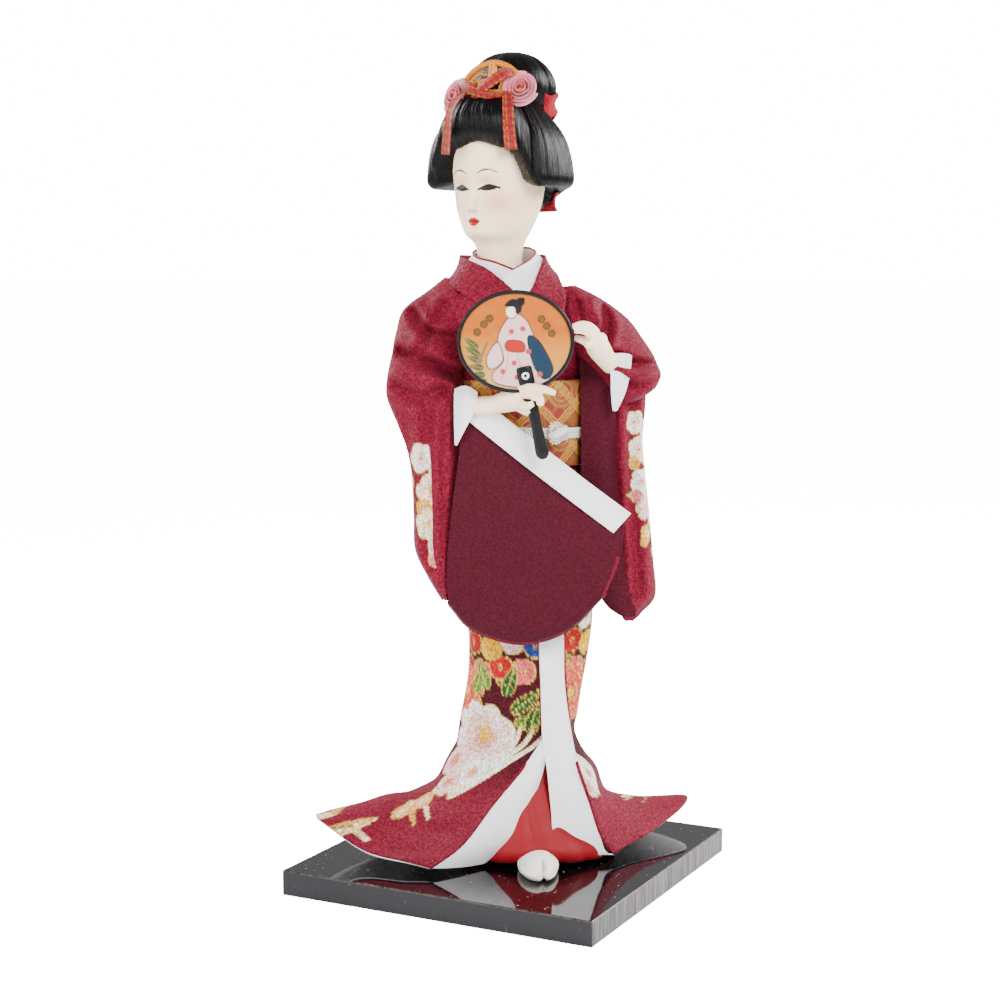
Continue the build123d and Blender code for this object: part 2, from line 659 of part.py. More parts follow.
def head_pieces():
    return {
        "neck_peg": neck_peg(),
        "head_shell": head_shell(),
        "front_hair": front_hair(),
        "left_side_hair": left_side_hair(),
        "right_side_hair": right_side_hair(),
        "back_hair": back_hair(),
        "bun": bun(),
        "comb": comb(),
        "left_flower": flower(1),
        "right_flower": flower(-1),
        "ribbon_bow": ribbon_bow(),
        "left_ribbon_tail": ribbon_tail(1),
        "right_ribbon_tail": ribbon_tail(-1),
        "bun_cloth": bun_cloth(),
        "nape_ribbon": nape_ribbon(),
    }


def main():
    os.makedirs("parts", exist_ok=True)
    export_step(base_board(), "parts/base_board.step")
    for name, shape in figure_pieces().items():
        export_step(Rot(0, 0, FIGURE_TURN) * shape, "parts/" + name + ".step")
    for name, shape in head_pieces().items():
        export_step(Pos(HEAD_X, HEAD_Y, 0) * shape, "parts/" + name + ".step")


main()
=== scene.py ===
import json
import math

import bpy
import numpy as np
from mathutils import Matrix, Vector


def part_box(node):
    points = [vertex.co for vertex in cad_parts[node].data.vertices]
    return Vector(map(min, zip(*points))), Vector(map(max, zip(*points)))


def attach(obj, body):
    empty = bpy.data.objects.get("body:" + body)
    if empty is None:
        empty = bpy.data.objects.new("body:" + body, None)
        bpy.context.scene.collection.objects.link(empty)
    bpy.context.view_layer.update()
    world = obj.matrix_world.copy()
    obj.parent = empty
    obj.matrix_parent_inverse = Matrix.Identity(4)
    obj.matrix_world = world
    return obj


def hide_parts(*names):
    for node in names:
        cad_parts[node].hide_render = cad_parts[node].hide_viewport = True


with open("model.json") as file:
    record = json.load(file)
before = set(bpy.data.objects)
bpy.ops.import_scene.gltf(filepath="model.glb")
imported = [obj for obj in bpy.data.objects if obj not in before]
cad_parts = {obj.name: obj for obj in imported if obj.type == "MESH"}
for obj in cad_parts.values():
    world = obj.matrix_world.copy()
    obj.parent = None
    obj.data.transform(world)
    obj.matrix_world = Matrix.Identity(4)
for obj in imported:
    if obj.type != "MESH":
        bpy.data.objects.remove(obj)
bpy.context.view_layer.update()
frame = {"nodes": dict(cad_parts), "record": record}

bl_info = {
    "name": "Dressed Display Doll",
    "version": (1, 0, 0),
    "blender": (4, 5, 0),
    "location": "View3D > Sidebar > Doll",
    "description": "Builds a kimono display doll on its lacquered board",
    "category": "Object",
}

MM = 0.001


# ------------------------------------------------------------------ places
def fan_axis():
    for joint in frame["record"]["behaviour"]["joints"]:
        if joint["name"] == "fan_slide":
            return Vector(joint["axis"])


def middle(node):
    low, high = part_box(node)
    return (low + high) / 2


TURN = math.atan2(-fan_axis().y, -fan_axis().x)
LEAN = math.atan2(math.hypot(fan_axis().x, fan_axis().y), fan_axis().z)
NECK_AXIS = middle("neck_peg")
BOARD_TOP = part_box("base_board")[1].z
BUN_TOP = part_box("bun")[1].z


def on_figure(points):
    """Body's own millimetres (x to the right, y away) to the frame's metres."""
    p = np.asarray(points, float) * MM
    c, s = math.cos(TURN), math.sin(TURN)
    return np.stack([p[..., 0] * c - p[..., 1] * s, p[..., 0] * s + p[..., 1] * c, p[..., 2]], -1)


def on_head(points):
    """Head's own millimetres, measured from the neck axis, to the frame's metres."""
    p = np.asarray(points, float) * MM
    return p + np.array([NECK_AXIS.x, NECK_AXIS.y, 0.0])


# ------------------------------------------------------------------ lines and nets
def through(points, where, closed=False):
    """Points on a smooth line through the given ones; where is a count or shares of its length."""
    p = np.asarray(points, float)
    flat = p.reshape(len(p), -1)
    if closed:
        ends = np.concatenate([flat[-1:], flat, flat[:2]])
    else:
        ends = np.concatenate([2 * flat[:1] - flat[1:2], flat, 2 * flat[-1:] - flat[-2:-1]])
    spans = len(ends) - 3
    t = np.linspace(0, spans, 24 * spans + 1)
    k = np.minimum(t.astype(int), spans - 1)
    f = (t - k)[:, None]
    a, b, c, d = ends[k], ends[k + 1], ends[k + 2], ends[k + 3]
    fine = 0.5 * (2 * b + (c - a) * f + (2 * a - 5 * b + 4 * c - d) * f**2
                  + (3 * b - a - 3 * c + d) * f**3)
    run = np.concatenate([[0], np.cumsum(np.linalg.norm(np.diff(fine, axis=0), axis=1))])
    if isinstance(where, int):
        where = np.arange(where) / where if closed else np.linspace(0, 1, where)
    at = np.asarray(where) * run[-1]
    out = np.stack([np.interp(at, run, fine[:, i]) for i in range(fine.shape[1])], -1)
    return out.reshape((len(out),) + p.shape[1:])


def net(rows, across, down, closed=False):
    """Smooth net through rows of control points."""
    return through(np.array([through(row, across, closed) for row in rows]), down)


def oval_row(x, y, z, rx, ry, start=-90.0, sweep=360.0, count=24):
    """Part of a level oval; a full sweep leaves out the repeated last point."""
    stops = count if sweep == 360.0 else count - 1
    a = np.radians(start) + np.radians(sweep) * np.arange(count) / stops
    return np.stack([x + rx * np.cos(a), y + ry * np.sin(a), np.full(count, float(z))], -1)


def net_normals(grid, closed=False):
    if closed:
        grid = np.concatenate([grid[:, -1:], grid, grid[:, :1]], 1)
    du, dv = np.gradient(grid, axis=1), np.gradient(grid, axis=0)
    n = np.cross(du, dv)
    n = n[:, 1:-1] if closed else n
    return n / np.maximum(np.linalg.norm(n, axis=-1, keepdims=True), 1e-9)


def rumple(a, b, seed, waves=6):
    """Gentle unevenness between about -1 and 1, the same on every run."""
    rng = np.random.default_rng(seed)
    total = np.zeros(np.broadcast(a, b).shape)
    for _ in range(waves):
        fa, fb = rng.normal(size=2)
        total = total + np.sin(fa * a + fb * b + rng.uniform(0, 6.28))
    return total / math.sqrt(waves)


def bump_at(value, centre, width):
    return np.exp(-(((value - centre) / width) ** 2))


def ease(value, low, high):
    t = np.clip((value - low) / (high - low), 0, 1)
    return t * t * (3 - 2 * t)


# ------------------------------------------------------------------ pieces
def settle(piece, body, finish, nodes=(), angle=None):
    """Last step of every piece: shading, material, body and the CAD nodes it stands for."""
    mesh = piece.data
    mesh.materials.clear()
    mesh.materials.append(finish)
    mesh.polygons.foreach_set("use_smooth", [True] * len(mesh.polygons))
    if angle:
        only(piece)
        bpy.ops.object.shade_smooth_by_angle(angle=math.radians(angle))
    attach(piece, body)
    if nodes:
        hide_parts(*nodes)
    return piece


def only(piece):
    bpy.ops.object.select_all(action="DESELECT")
    piece.select_set(True)
    bpy.context.view_layer.objects.active = piece


def new_mesh(name, points, faces, uv=None, paint=None):
    mesh = bpy.data.meshes.new(name)
    mesh.from_pydata([tuple(p) for p in points], [], [tuple(f) for f in faces])
    if uv is not None:
        layer = mesh.uv_layers.new(name="UVMap")
        corner = np.zeros(len(mesh.loops), int)
        mesh.loops.foreach_get("vertex_index", corner)
        layer.data.foreach_set("uv", np.asarray(uv)[corner].ravel())
    if paint is not None:
        colour = mesh.color_attributes.new(name="paint", type="FLOAT_COLOR", domain="POINT")
        rgba = np.concatenate([paint, np.ones((len(paint), 1))], 1)
        colour.data.foreach_set("color", rgba.astype(np.float32).ravel())
    mesh.validate()
    piece = bpy.data.objects.new(name, mesh)
    bpy.context.scene.collection.objects.link(piece)
    return piece


def apply_modifier(piece, kind, **settings):
    only(piece)
    modifier = piece.modifiers.new(kind.title(), kind)
    for key, value in settings.items():
        setattr(modifier, key, value)
    bpy.ops.object.modifier_apply(modifier=modifier.name)


def net_piece(name, grid, place, closed=False, capped=False, paint=None, thick=0.0):
    """Mesh from a net of points in millimetres; UVs are real distances in metres."""
    down, across, _ = grid.shape
    index = np.arange(down * across).reshape(down, across)
    nxt = np.roll(index, -1, 1) if closed else index[:, 1:]
    here = index if closed else index[:, :-1]
    quads = np.stack([here[:-1], nxt[:-1], nxt[1:], here[1:]], -1).reshape(-1, 4)
    faces = [list(q) for q in quads]
    points = place(grid).reshape(-1, 3)
    step_u = np.linalg.norm(np.diff(grid, axis=1), axis=2).mean(0)
    step_v = np.linalg.norm(np.diff(grid, axis=0), axis=2).mean(1)
    u = np.concatenate([[0], np.cumsum(step_u)]) * MM
    v = np.concatenate([[0], np.cumsum(step_v)]) * MM
    uv = np.stack(np.meshgrid(u, v), -1).reshape(-1, 2)
    colours = None if paint is None else np.asarray(paint).reshape(-1, 3)
    if capped:
        faces.append(list(index[0][::-1]))
        faces.append(list(index[-1]))
    piece = new_mesh(name, points, faces, uv, colours)
    if thick:
        apply_modifier(piece, "SOLIDIFY", thickness=thick * MM, offset=-1.0)
    if capped:
        only(piece)
        bpy.ops.object.mode_set(mode="EDIT")
        bpy.ops.mesh.select_all(action="SELECT")
        bpy.ops.mesh.normals_make_consistent(inside=False)
        bpy.ops.object.mode_set(mode="OBJECT")
    return piece


def joined(name, pieces):
    bpy.ops.object.select_all(action="DESELECT")
    for piece in pieces:
        piece.select_set(True)
    bpy.context.view_layer.objects.active = pieces[0]
    if len(pieces) > 1:
        bpy.ops.object.join()
    whole = bpy.context.view_layer.objects.active
    whole.name = name
    whole.data.name = name
    return whole


def tube(name, line, radii, place, sides=10, paint=None):
    """Round rod along a smooth line of points."""
    line = np.asarray(line, float)
    radii = np.broadcast_to(np.asarray(radii, float), (len(line),))
    along = np.gradient(line, axis=0)
    along /= np.linalg.norm(along, axis=1, keepdims=True)
    ref = np.array([0.0, 0.0, 1.0]) if abs(along[:, 2]).mean() < 0.8 else np.array([0.0, 1.0, 0.0])
    side = np.cross(along, ref)
    side /= np.linalg.norm(side, axis=1, keepdims=True)
    up = np.cross(side, along)
    a = 2 * np.pi * np.arange(sides) / sides
    grid = (line[:, None] + radii[:, None, None] * (np.cos(a)[None, :, None] * side[:, None]
            + np.sin(a)[None, :, None] * up[:, None]))
    return net_piece(name, grid, place, closed=True, capped=True, paint=paint)


def band(name, edge_a, edge_b, place, count=60, across=7, crown=0.0, thick=0.5, paint=None):
    """Strip of cloth between two edge lines, crowned along its middle."""
    a, b = through(edge_a, count), through(edge_b, count)
    t = np.linspace(0, 1, across)[None, :, None]
    grid = a[:, None] * (1 - t) + b[:, None] * t
    if crown:
        grid = grid + net_normals(grid) * (crown * 4 * t * (1 - t))
    return net_piece(name, grid, place, thick=thick, paint=paint)


# ------------------------------------------------------------------ shader expressions
class Level:
    """A shader value or colour socket that can stand in an expression."""

    def __init__(self, finish, socket):
        self.finish, self.socket = finish, socket

    def maths(self, operation, first, second):
        return self.finish.add("ShaderNodeMath", {"operation": operation}, [first, second])

    def __add__(self, other):
        return self.maths("ADD", self, other)

    def __rsub__(self, other):
        return self.maths("SUBTRACT", other, self)

    def __mul__(self, other):
        return self.maths("MULTIPLY", self, other)


class Finish:
    """One material, its nodes added from Python expressions."""

    def __init__(self, name, **constants):
        self.material = bpy.data.materials.new(name)
        self.material.use_nodes = True
        self.nodes = self.material.node_tree.nodes
        self.links = self.material.node_tree.links
        self.shader = self.nodes["Principled BSDF"]
        for key, value in constants.items():
            self.shader.inputs[key.replace("_", " ")].default_value = value

    def feed(self, socket, value):
        if isinstance(value, Level):
            self.links.new(value.socket, socket)
        elif isinstance(value, (tuple, list)) and len(value) == 3 and socket.type == "RGBA":
            socket.default_value = (*value, 1.0)
        else:
            socket.default_value = value

    def add(self, kind, settings=None, values=(), out=0):
        node = self.nodes.new(kind)
        for key, value in (settings or {}).items():
            setattr(node, key, value)
        pairs = values.items() if isinstance(values, dict) else enumerate(values)
        for key, value in pairs:
            self.feed(node.inputs[key], value)
        return Level(self, node.outputs[out])

    def mix(self, share, first, second):
        return self.add("ShaderNodeMix", {"data_type": "RGBA"}, {0: share, 6: first, 7: second}, 2)

    def tint(self, first, second, share=1.0):
        settings = {"data_type": "RGBA", "blend_type": "MULTIPLY"}
        return self.add("ShaderNodeMix", settings, {0: share, 6: first, 7: second}, 2)

    def noise(self, where, scale, detail=2.0, rough=0.5):
        values = {"Vector": where, "Scale": scale, "Detail": detail, "Roughness": rough}
        return self.add("ShaderNodeTexNoise", None, values)

    def spread(self, value, low, high, to_low=0.0, to_high=1.0):
        return self.add("ShaderNodeMapRange", {"clamp": True}, [value, low, high, to_low, to_high])

    def place(self):
        return self.add("ShaderNodeTexCoord", None, (), "Object")

    def uv(self):
        return self.add("ShaderNodeTexCoord", None, (), "UV")

    def stretched(self, where, scale):
        return self.add("ShaderNodeMapping", None, {"Vector": where, "Scale": scale})

    def painted(self):
        return self.add("ShaderNodeAttribute", {"attribute_name": "paint"}, (), "Color")

    def bump(self, height, distance, strength):
        values = {"Height": height, "Distance": distance, "Strength": strength}
        return self.add("ShaderNodeBump", None, values)

    def set(self, **values):
        for key, value in values.items():
            self.feed(self.shader.inputs[key.replace("_", " ")], value)
        return self.material


FINISHES = {}


def finish_once(maker):
    """Each finish is made once and shared by the pieces that wear it."""
    def made(*args):
        key = (maker.__name__,) + args
        if key not in FINISHES:
            FINISHES[key] = maker(*args)
        return FINISHES[key]
    return made


@finish_once
def crepe(grained=1.0):
    """Pebbled crepe: little raised grains over the cloth's own painted colour, with a painted highlight on
    each grain and painted shade between them.
    """
    f = Finish("crepe", Roughness=0.72, Sheen_Weight=0.02, Sheen_Roughness=0.45,
               Specular_IOR_Level=0.10)
    look = bpy.context.scene.doll_cloth
    here = f.place()
    grain = f.noise(here, 0.85 / look.crepe_grain, 2.5, 0.6)
    patch = f.noise(here, 55.0, 2.0)
    thread = f.noise(f.stretched(here, (1.0, 1.0, 0.35)), 3200.0, 1.0)
    lit = f.spread(grain * 0.75 + thread * 0.25, 0.40, 0.66, 0.30 - 0.30 * grained, 0.30 + 0.70 * grained)
    colour = f.painted()
    # Painted highlight and shade: the raised grains take a paler copy of the cloth colour, the hollows
    # between them a darker copy.
    dark = f.tint(colour, (0.66, 0.55, 0.60))
    pale = f.add("ShaderNodeMix", {"data_type": "RGBA", "blend_type": "SCREEN", "clamp_result": True},
                 {0: 1.0, 6: colour, 7: f.tint(colour, (0.8, 1.7, 1.3))}, 2)
    body = f.mix(lit, dark, pale)
    body = f.mix(f.spread(patch, 0.35, 0.7) * 0.22, body, f.tint(body, (0.7, 0.62, 0.66)))
    height = grain + thread * 0.3
    return f.set(Base_Color=body, Roughness=f.spread(grain, 0.3, 0.7, 0.82, 0.6),
                 Normal=f.bump(height, 0.00035, 0.8))


@finish_once
def smooth_cloth(name, sheen, gloss, weave):
    """Close-woven plain cloth or satin in its painted colour, with a fine thread."""
    f = Finish(name, Sheen_Weight=sheen, Sheen_Roughness=0.35, Specular_IOR_Level=0.22)
    uv = f.uv()
    warp = f.add("ShaderNodeTexWave", {"bands_direction": "X"}, {"Vector": uv, "Scale": weave,
                 "Distortion": 1.5, "Detail": 1.0, "Detail Scale": 3.0})
    weft = f.add("ShaderNodeTexWave", {"bands_direction": "Y"}, {"Vector": uv, "Scale": weave,
                 "Distortion": 1.5, "Detail": 1.0, "Detail Scale": 3.0})
    slub = f.noise(f.stretched(uv, (120.0, 900.0, 1.0)), 1.0, 3.0)
    cloud = f.noise(f.place(), 60.0, 3.0)
    body = f.tint(f.painted(), (0.82, 0.8, 0.82), f.spread(slub, 0.35, 0.75) * 0.5)
    body = f.tint(body, (0.86, 0.84, 0.88), f.spread(cloud, 0.4, 0.7) * 0.4)
    return f.set(Base_Color=body, Roughness=f.spread(cloud, 0.3, 0.7, gloss, gloss + 0.14),
                 Normal=f.bump(warp * 0.5 + weft * 0.5 + slub * 0.8, 0.00006, 0.7))


def white_satin():
    return smooth_cloth("white satin", 0.3, 0.36, 900.0)


def red_silk():
    return smooth_cloth("red silk", 0.03, 0.45, 900.0)


@finish_once
def gofun():
    """Polished white shell paint on the face and hands, tinted from the painted colours."""
    f = Finish("gofun", Subsurface_Weight=0.12, Subsurface_Scale=0.002, Coat_Weight=0.05,
               Coat_Roughness=0.35, Specular_IOR_Level=0.22)
    cloud = f.noise(f.place(), 180.0, 3.0)
    body = f.tint(f.painted(), (0.97, 0.95, 0.93), f.spread(cloud, 0.35, 0.7))
    return f.set(Base_Color=body, Roughness=f.spread(cloud, 0.3, 0.7, 0.42, 0.54),
                 Normal=f.bump(cloud, 0.00005, 0.3))


@finish_once
def hair_strands(count, along):
    """Black nylon hair: fine strands run the long way of the piece, some of them brown in the light."""
    f = Finish("hair strands", Specular_IOR_Level=0.10)
    uv = f.uv()
    fine = f.noise(f.stretched(uv, (count, along, 1.0)), 1.0, 4.0, 0.65)
    lock = f.noise(f.stretched(uv, (count * 0.16, along, 1.0)), 1.0, 2.0)
    body = f.mix(f.spread(fine, 0.45, 0.75), (0.0008, 0.0007, 0.0009), (0.005, 0.004, 0.004))
    return f.set(Base_Color=body, Roughness=f.spread(fine, 0.3, 0.7, 0.20, 0.34),
                 Normal=f.bump(fine + lock * 1.2, 0.0005, 0.7))


@finish_once
def lacquer(top):
    """Black lacquered board: mirror top, sawn and stained sides with worn brown edges."""
    f = Finish("lacquer", Coat_Roughness=0.03, Specular_IOR_Level=0.28)
    here = f.place()
    parts = f.add("ShaderNodeSeparateXYZ", None, [here])
    level = Level(f, parts.socket.node.outputs[2])
    face = f.add("ShaderNodeNewGeometry", None, (), "Normal")
    split = f.add("ShaderNodeSeparateXYZ", None, [face]).socket.node.outputs
    upward = f.spread(Level(f, split[2]), 0.5, 0.9)
    rightward = f.spread(Level(f, split[0]), 0.5, 0.9)
    saw = f.noise(f.stretched(here, (760.0, 760.0, 40.0)), 1.0, 4.0, 0.75)
    chips = f.noise(here, 420.0, 5.0, 0.7)
    dust = f.spread(f.noise(here, 700.0, 1.0), 0.735, 0.76)
    rim = 1.0 - f.spread(top - level, 0.0, 0.0007)
    worn = f.mix(f.spread(saw, 0.38, 0.62), (0.022, 0.020, 0.020), (0.15, 0.14, 0.13))
    side = f.mix(rightward, (0.009, 0.009, 0.011), worn)
    side = f.mix(rim * f.spread(chips, 0.35, 0.55) * 0.8, side, (0.17, 0.12, 0.095))
    side = f.mix(f.spread(chips, 0.66, 0.74) * 0.6, side, (0.2, 0.17, 0.15))
    deck = f.mix(dust * 0.5, (0.0015, 0.0015, 0.002), (0.35, 0.33, 0.3))
    ripple = f.noise(here, 26.0, 2.0)
    scratch = f.noise(f.stretched(here, (40.0, 1900.0, 1.0)), 1.0, 2.0)
    rough = upward * f.spread(ripple, 0.3, 0.7, 0.03, 0.075) + (1.0 - upward) * 0.46
    height = saw * rightward * 0.9 + chips * (1.0 - upward) * 0.5 + scratch * upward * 0.01
    return f.set(Base_Color=f.mix(upward, side, deck), Roughness=rough + dust * upward * 0.3,
                 Coat_Weight=upward * 0.25, Normal=f.bump(height, 0.0003, 0.6))


@finish_once
def hard_gloss(name, colour, rough, metal):
    """Plain glossy lacquer, plastic, wood or metal with slight unevenness."""
    f = Finish(name, Coat_Weight=0.05, Metallic=metal, Specular_IOR_Level=0.22)
    cloud = f.noise(f.place(), 420.0, 4.0)
    dull = tuple(channel * 0.72 for channel in colour)
    return f.set(Base_Color=f.mix(f.spread(cloud, 0.35, 0.7), colour, dull),
                 Roughness=f.spread(cloud, 0.3, 0.7, rough, rough + 0.15),
                 Normal=f.bump(cloud, 0.00008, 0.4))


@finish_once
def brocade():
    """Gold brocade: metallic threads over orange, red and dark ground, ribbed along the weave."""
    f = Finish("brocade", Sheen_Weight=0.1, Specular_IOR_Level=0.6)
    uv = f.uv()
    rib = f.add("ShaderNodeTexWave", {"bands_direction": "X"}, {"Vector": uv, "Scale": 520.0,
                "Distortion": 0.6, "Detail": 1.0})
    knots = f.noise(f.stretched(uv, (1500.0, 2600.0, 1.0)), 1.0, 2.0)
    glint = f.spread(knots, 0.42, 0.62)
    colour = f.painted()
    body = f.mix(glint, f.tint(colour, (0.45, 0.38, 0.3)), colour)
    return f.set(Base_Color=body, Roughness=f.spread(knots, 0.3, 0.7, 0.3, 0.5),
                 Metallic=glint * 0.55, Normal=f.bump(rib * 0.7 + knots * 0.9, 0.00018, 0.8))


@finish_once
def printed_film():
    """Printed paper under a clear film on the fan."""
    f = Finish("printed film", Coat_Weight=0.15, Coat_Roughness=0.1, Specular_IOR_Level=0.25)
    cloud = f.noise(f.place(), 260.0, 3.0)
    return f.set(Base_Color=f.tint(f.painted(), (0.93, 0.92, 0.9), cloud),
                 Roughness=f.spread(cloud, 0.3, 0.7, 0.3, 0.42), Normal=f.bump(cloud, 0.0001, 0.2))


# ------------------------------------------------------------------ painted patterns
MAROON = (0.125, 0.0034, 0.0135)
DARK_CREPE = (0.046, 0.0016, 0.0072)
WHITE = (0.84, 0.83, 0.84)
RED = (0.22, 0.0005, 0.006)
SKIN = (0.97, 0.77, 0.54)
GOLD = (0.50, 0.27, 0.04)
GREEN = (0.006, 0.040, 0.010)
LEAF_LIGHT = (0.045, 0.12, 0.016)
YELLOW = (0.60, 0.24, 0.002)
PINK = (0.58, 0.09, 0.15)
PALE_PINK = (0.68, 0.36, 0.36)
BLUE = (0.010, 0.025, 0.16)
PEONY_RED = (0.30, 0.003, 0.006)
BLACK = (0.006, 0.005, 0.006)
CORD_WHITE = (0.74, 0.72, 0.66)
APRICOT = (0.80, 0.60, 0.34)
ROSE = (0.78, 0.42, 0.44)


class Painting:
    """Colour of every point of a net, painted in the net's own millimetres."""

    def __init__(self, u, v, ground):
        self.u, self.v = u, v
        self.rgb = np.empty(u.shape + (3,))
        self.rgb[:] = ground

    def lay(self, cover, colour):
        """Lays a colour over the paint, as thickly as cover says from 0 to 1."""
        cover = np.clip(cover, 0, 1)[..., None]
        self.rgb = self.rgb * (1 - cover) + np.asarray(colour) * cover

    def polar(self, cu, cv):
        du, dv = self.u - cu, self.v - cv
        return np.hypot(du, dv), np.arctan2(dv, du)

    def bloom(self, cu, cv, size, petals, colour, inner=None, line=GOLD, turn=0.0, notch=0.16):
        """Flower with rounded petals, an outline, a tinted heart and a small centre."""
        r, a = self.polar(cu, cv)
        edge = size * (1 - notch + notch * np.abs(np.cos(petals * (a - turn) / 2)) ** 0.6)
        self.lay((edge + 0.28 - r) / 0.3, line)
        self.lay((edge - 0.12 - r) / 0.3, colour)
        if inner is not None:
            self.lay(ease(edge * 0.75 - r, 0, size * 0.6) * (r < edge), inner)
        rays = np.abs(np.sin(petals * (a - turn) / 2)) < 0.12
        self.lay(rays * (r < edge * 0.9) * (r > size * 0.25) * 0.75, line)
        self.lay((size * 0.2 - r) / 0.3, line)
        self.lay((size * 0.11 - r) / 0.3, (0.5, 0.08, 0.04))

    def plum(self, cu, cv, size, colour):
        """Round blossom with an outline and a small oval heart, a little lighter to one side."""
        r, a = self.polar(cu, cv)
        edge = size * (0.97 + 0.03 * np.cos(5 * a))
        self.lay((edge + 0.34 - r) / 0.3, GOLD)
        lighter = np.asarray(colour) * (0.86 + 0.3 * ease(self.u - cu, -size, size))[..., None]
        self.lay((edge - 0.14 - r) / 0.3, lighter)
        heart = np.hypot((self.u - cu) * 1.2, (self.v - cv) * 0.85)
        self.lay((size * 0.24 - heart) / 0.3, GOLD)
        self.lay((size * 0.14 - heart) / 0.3, (0.05, 0.02, 0.004))

    def leaf(self, cu, cv, length, width, turn, colour, line=GOLD):
        """Pointed leaf with an outline, a midrib and side veins."""
        c, s = math.cos(turn), math.sin(turn)
        along = ((self.u - cu) * c + (self.v - cv) * s) / length
        across = (-(self.u - cu) * s + (self.v - cv) * c)
        inside = (along > 0) & (along < 1)
        half = width * np.sqrt(np.clip(along, 0, 1)) * np.clip(1 - along, 0, 1) * 2.0
        self.lay(inside * (half + 0.3 - np.abs(across)) / 0.3, line)
        shade = np.asarray(colour) * (0.75 + 0.5 * ease(across, -width, width))[..., None]
        self.lay(inside * (half - np.abs(across)) / 0.3, shade)
        vein = np.abs(np.sin((along * 5 + np.abs(across) / width) * 3.14)) < 0.14
        self.lay(inside * (np.abs(across) < half) * vein * 0.6, line)
        self.lay(inside * (0.28 - np.abs(across)) / 0.2, line)

    def stroke(self, points, width, colour):
        """Line through the points, of one width."""
        line = through(np.asarray(points, float), 60)
        self.lay((width / 2 + 0.12 - self.gap_to(line[:-1], line[1:])) / 0.25, colour)

    def gap_to(self, starts, ends):
        """Distance from every point of the net to the nearest of the given segments."""
        best = np.full(self.u.shape, 1e9)
        for a, b in zip(starts, ends):
            d = b - a
            t = ((self.u - a[0]) * d[0] + (self.v - a[1]) * d[1]) / max(d @ d, 1e-9)
            t = np.clip(t, 0, 1)
            best = np.minimum(best, np.hypot(self.u - a[0] - t * d[0], self.v - a[1] - t * d[1]))
        return best

    def patch(self, outline, colour, line=None):
        """Filled shape with a smooth closed outline."""
        soft = 0.25
        loop = through(np.asarray(outline, float), 72, closed=True)
        following = np.roll(loop, -1, 0)
        inside = np.zeros(self.u.shape, bool)
        for a, b in zip(loop, following):
            d = b - a
            crosses = (a[1] > self.v) != (b[1] > self.v)
            at = a[0] + (self.v - a[1]) * d[0] / (d[1] if abs(d[1]) > 1e-9 else 1e-9)
            inside ^= crosses & (self.u < at)
        best = self.gap_to(loop, following)
        signed = np.where(inside, best, -best)
        if line is not None:
            self.lay((signed + 0.3 + soft) / soft, line)
        self.lay(signed / soft + 0.5, colour)


def peony(p, cu, cv, size, outer, heart, seed):
    """Full peony: rings of scalloped petals, paler outside and deep in the heart."""
    rng = np.random.default_rng(seed)
    rings = 6
    for k in range(rings):
        share = 1 - k / rings
        blend = k / (rings - 1)
        colour = np.asarray(outer) * (1 - blend) + np.asarray(heart) * blend
        count = 9 - k
        p.bloom(cu + rng.normal(0, size * 0.04), cv + rng.normal(0, size * 0.04), size * share, count,
                colour, None, GOLD, rng.uniform(0, 6), 0.22)
    p.bloom(cu, cv, size * 0.16, 5, YELLOW)


def crepe_ground(u, v, seed, tone=MAROON):
    """Ground colour with slight folds of light and shade in the dye."""
    shade = 1 + 0.05 * rumple(u / 22, v / 22, seed)
    return np.asarray(tone) * shade[..., None]


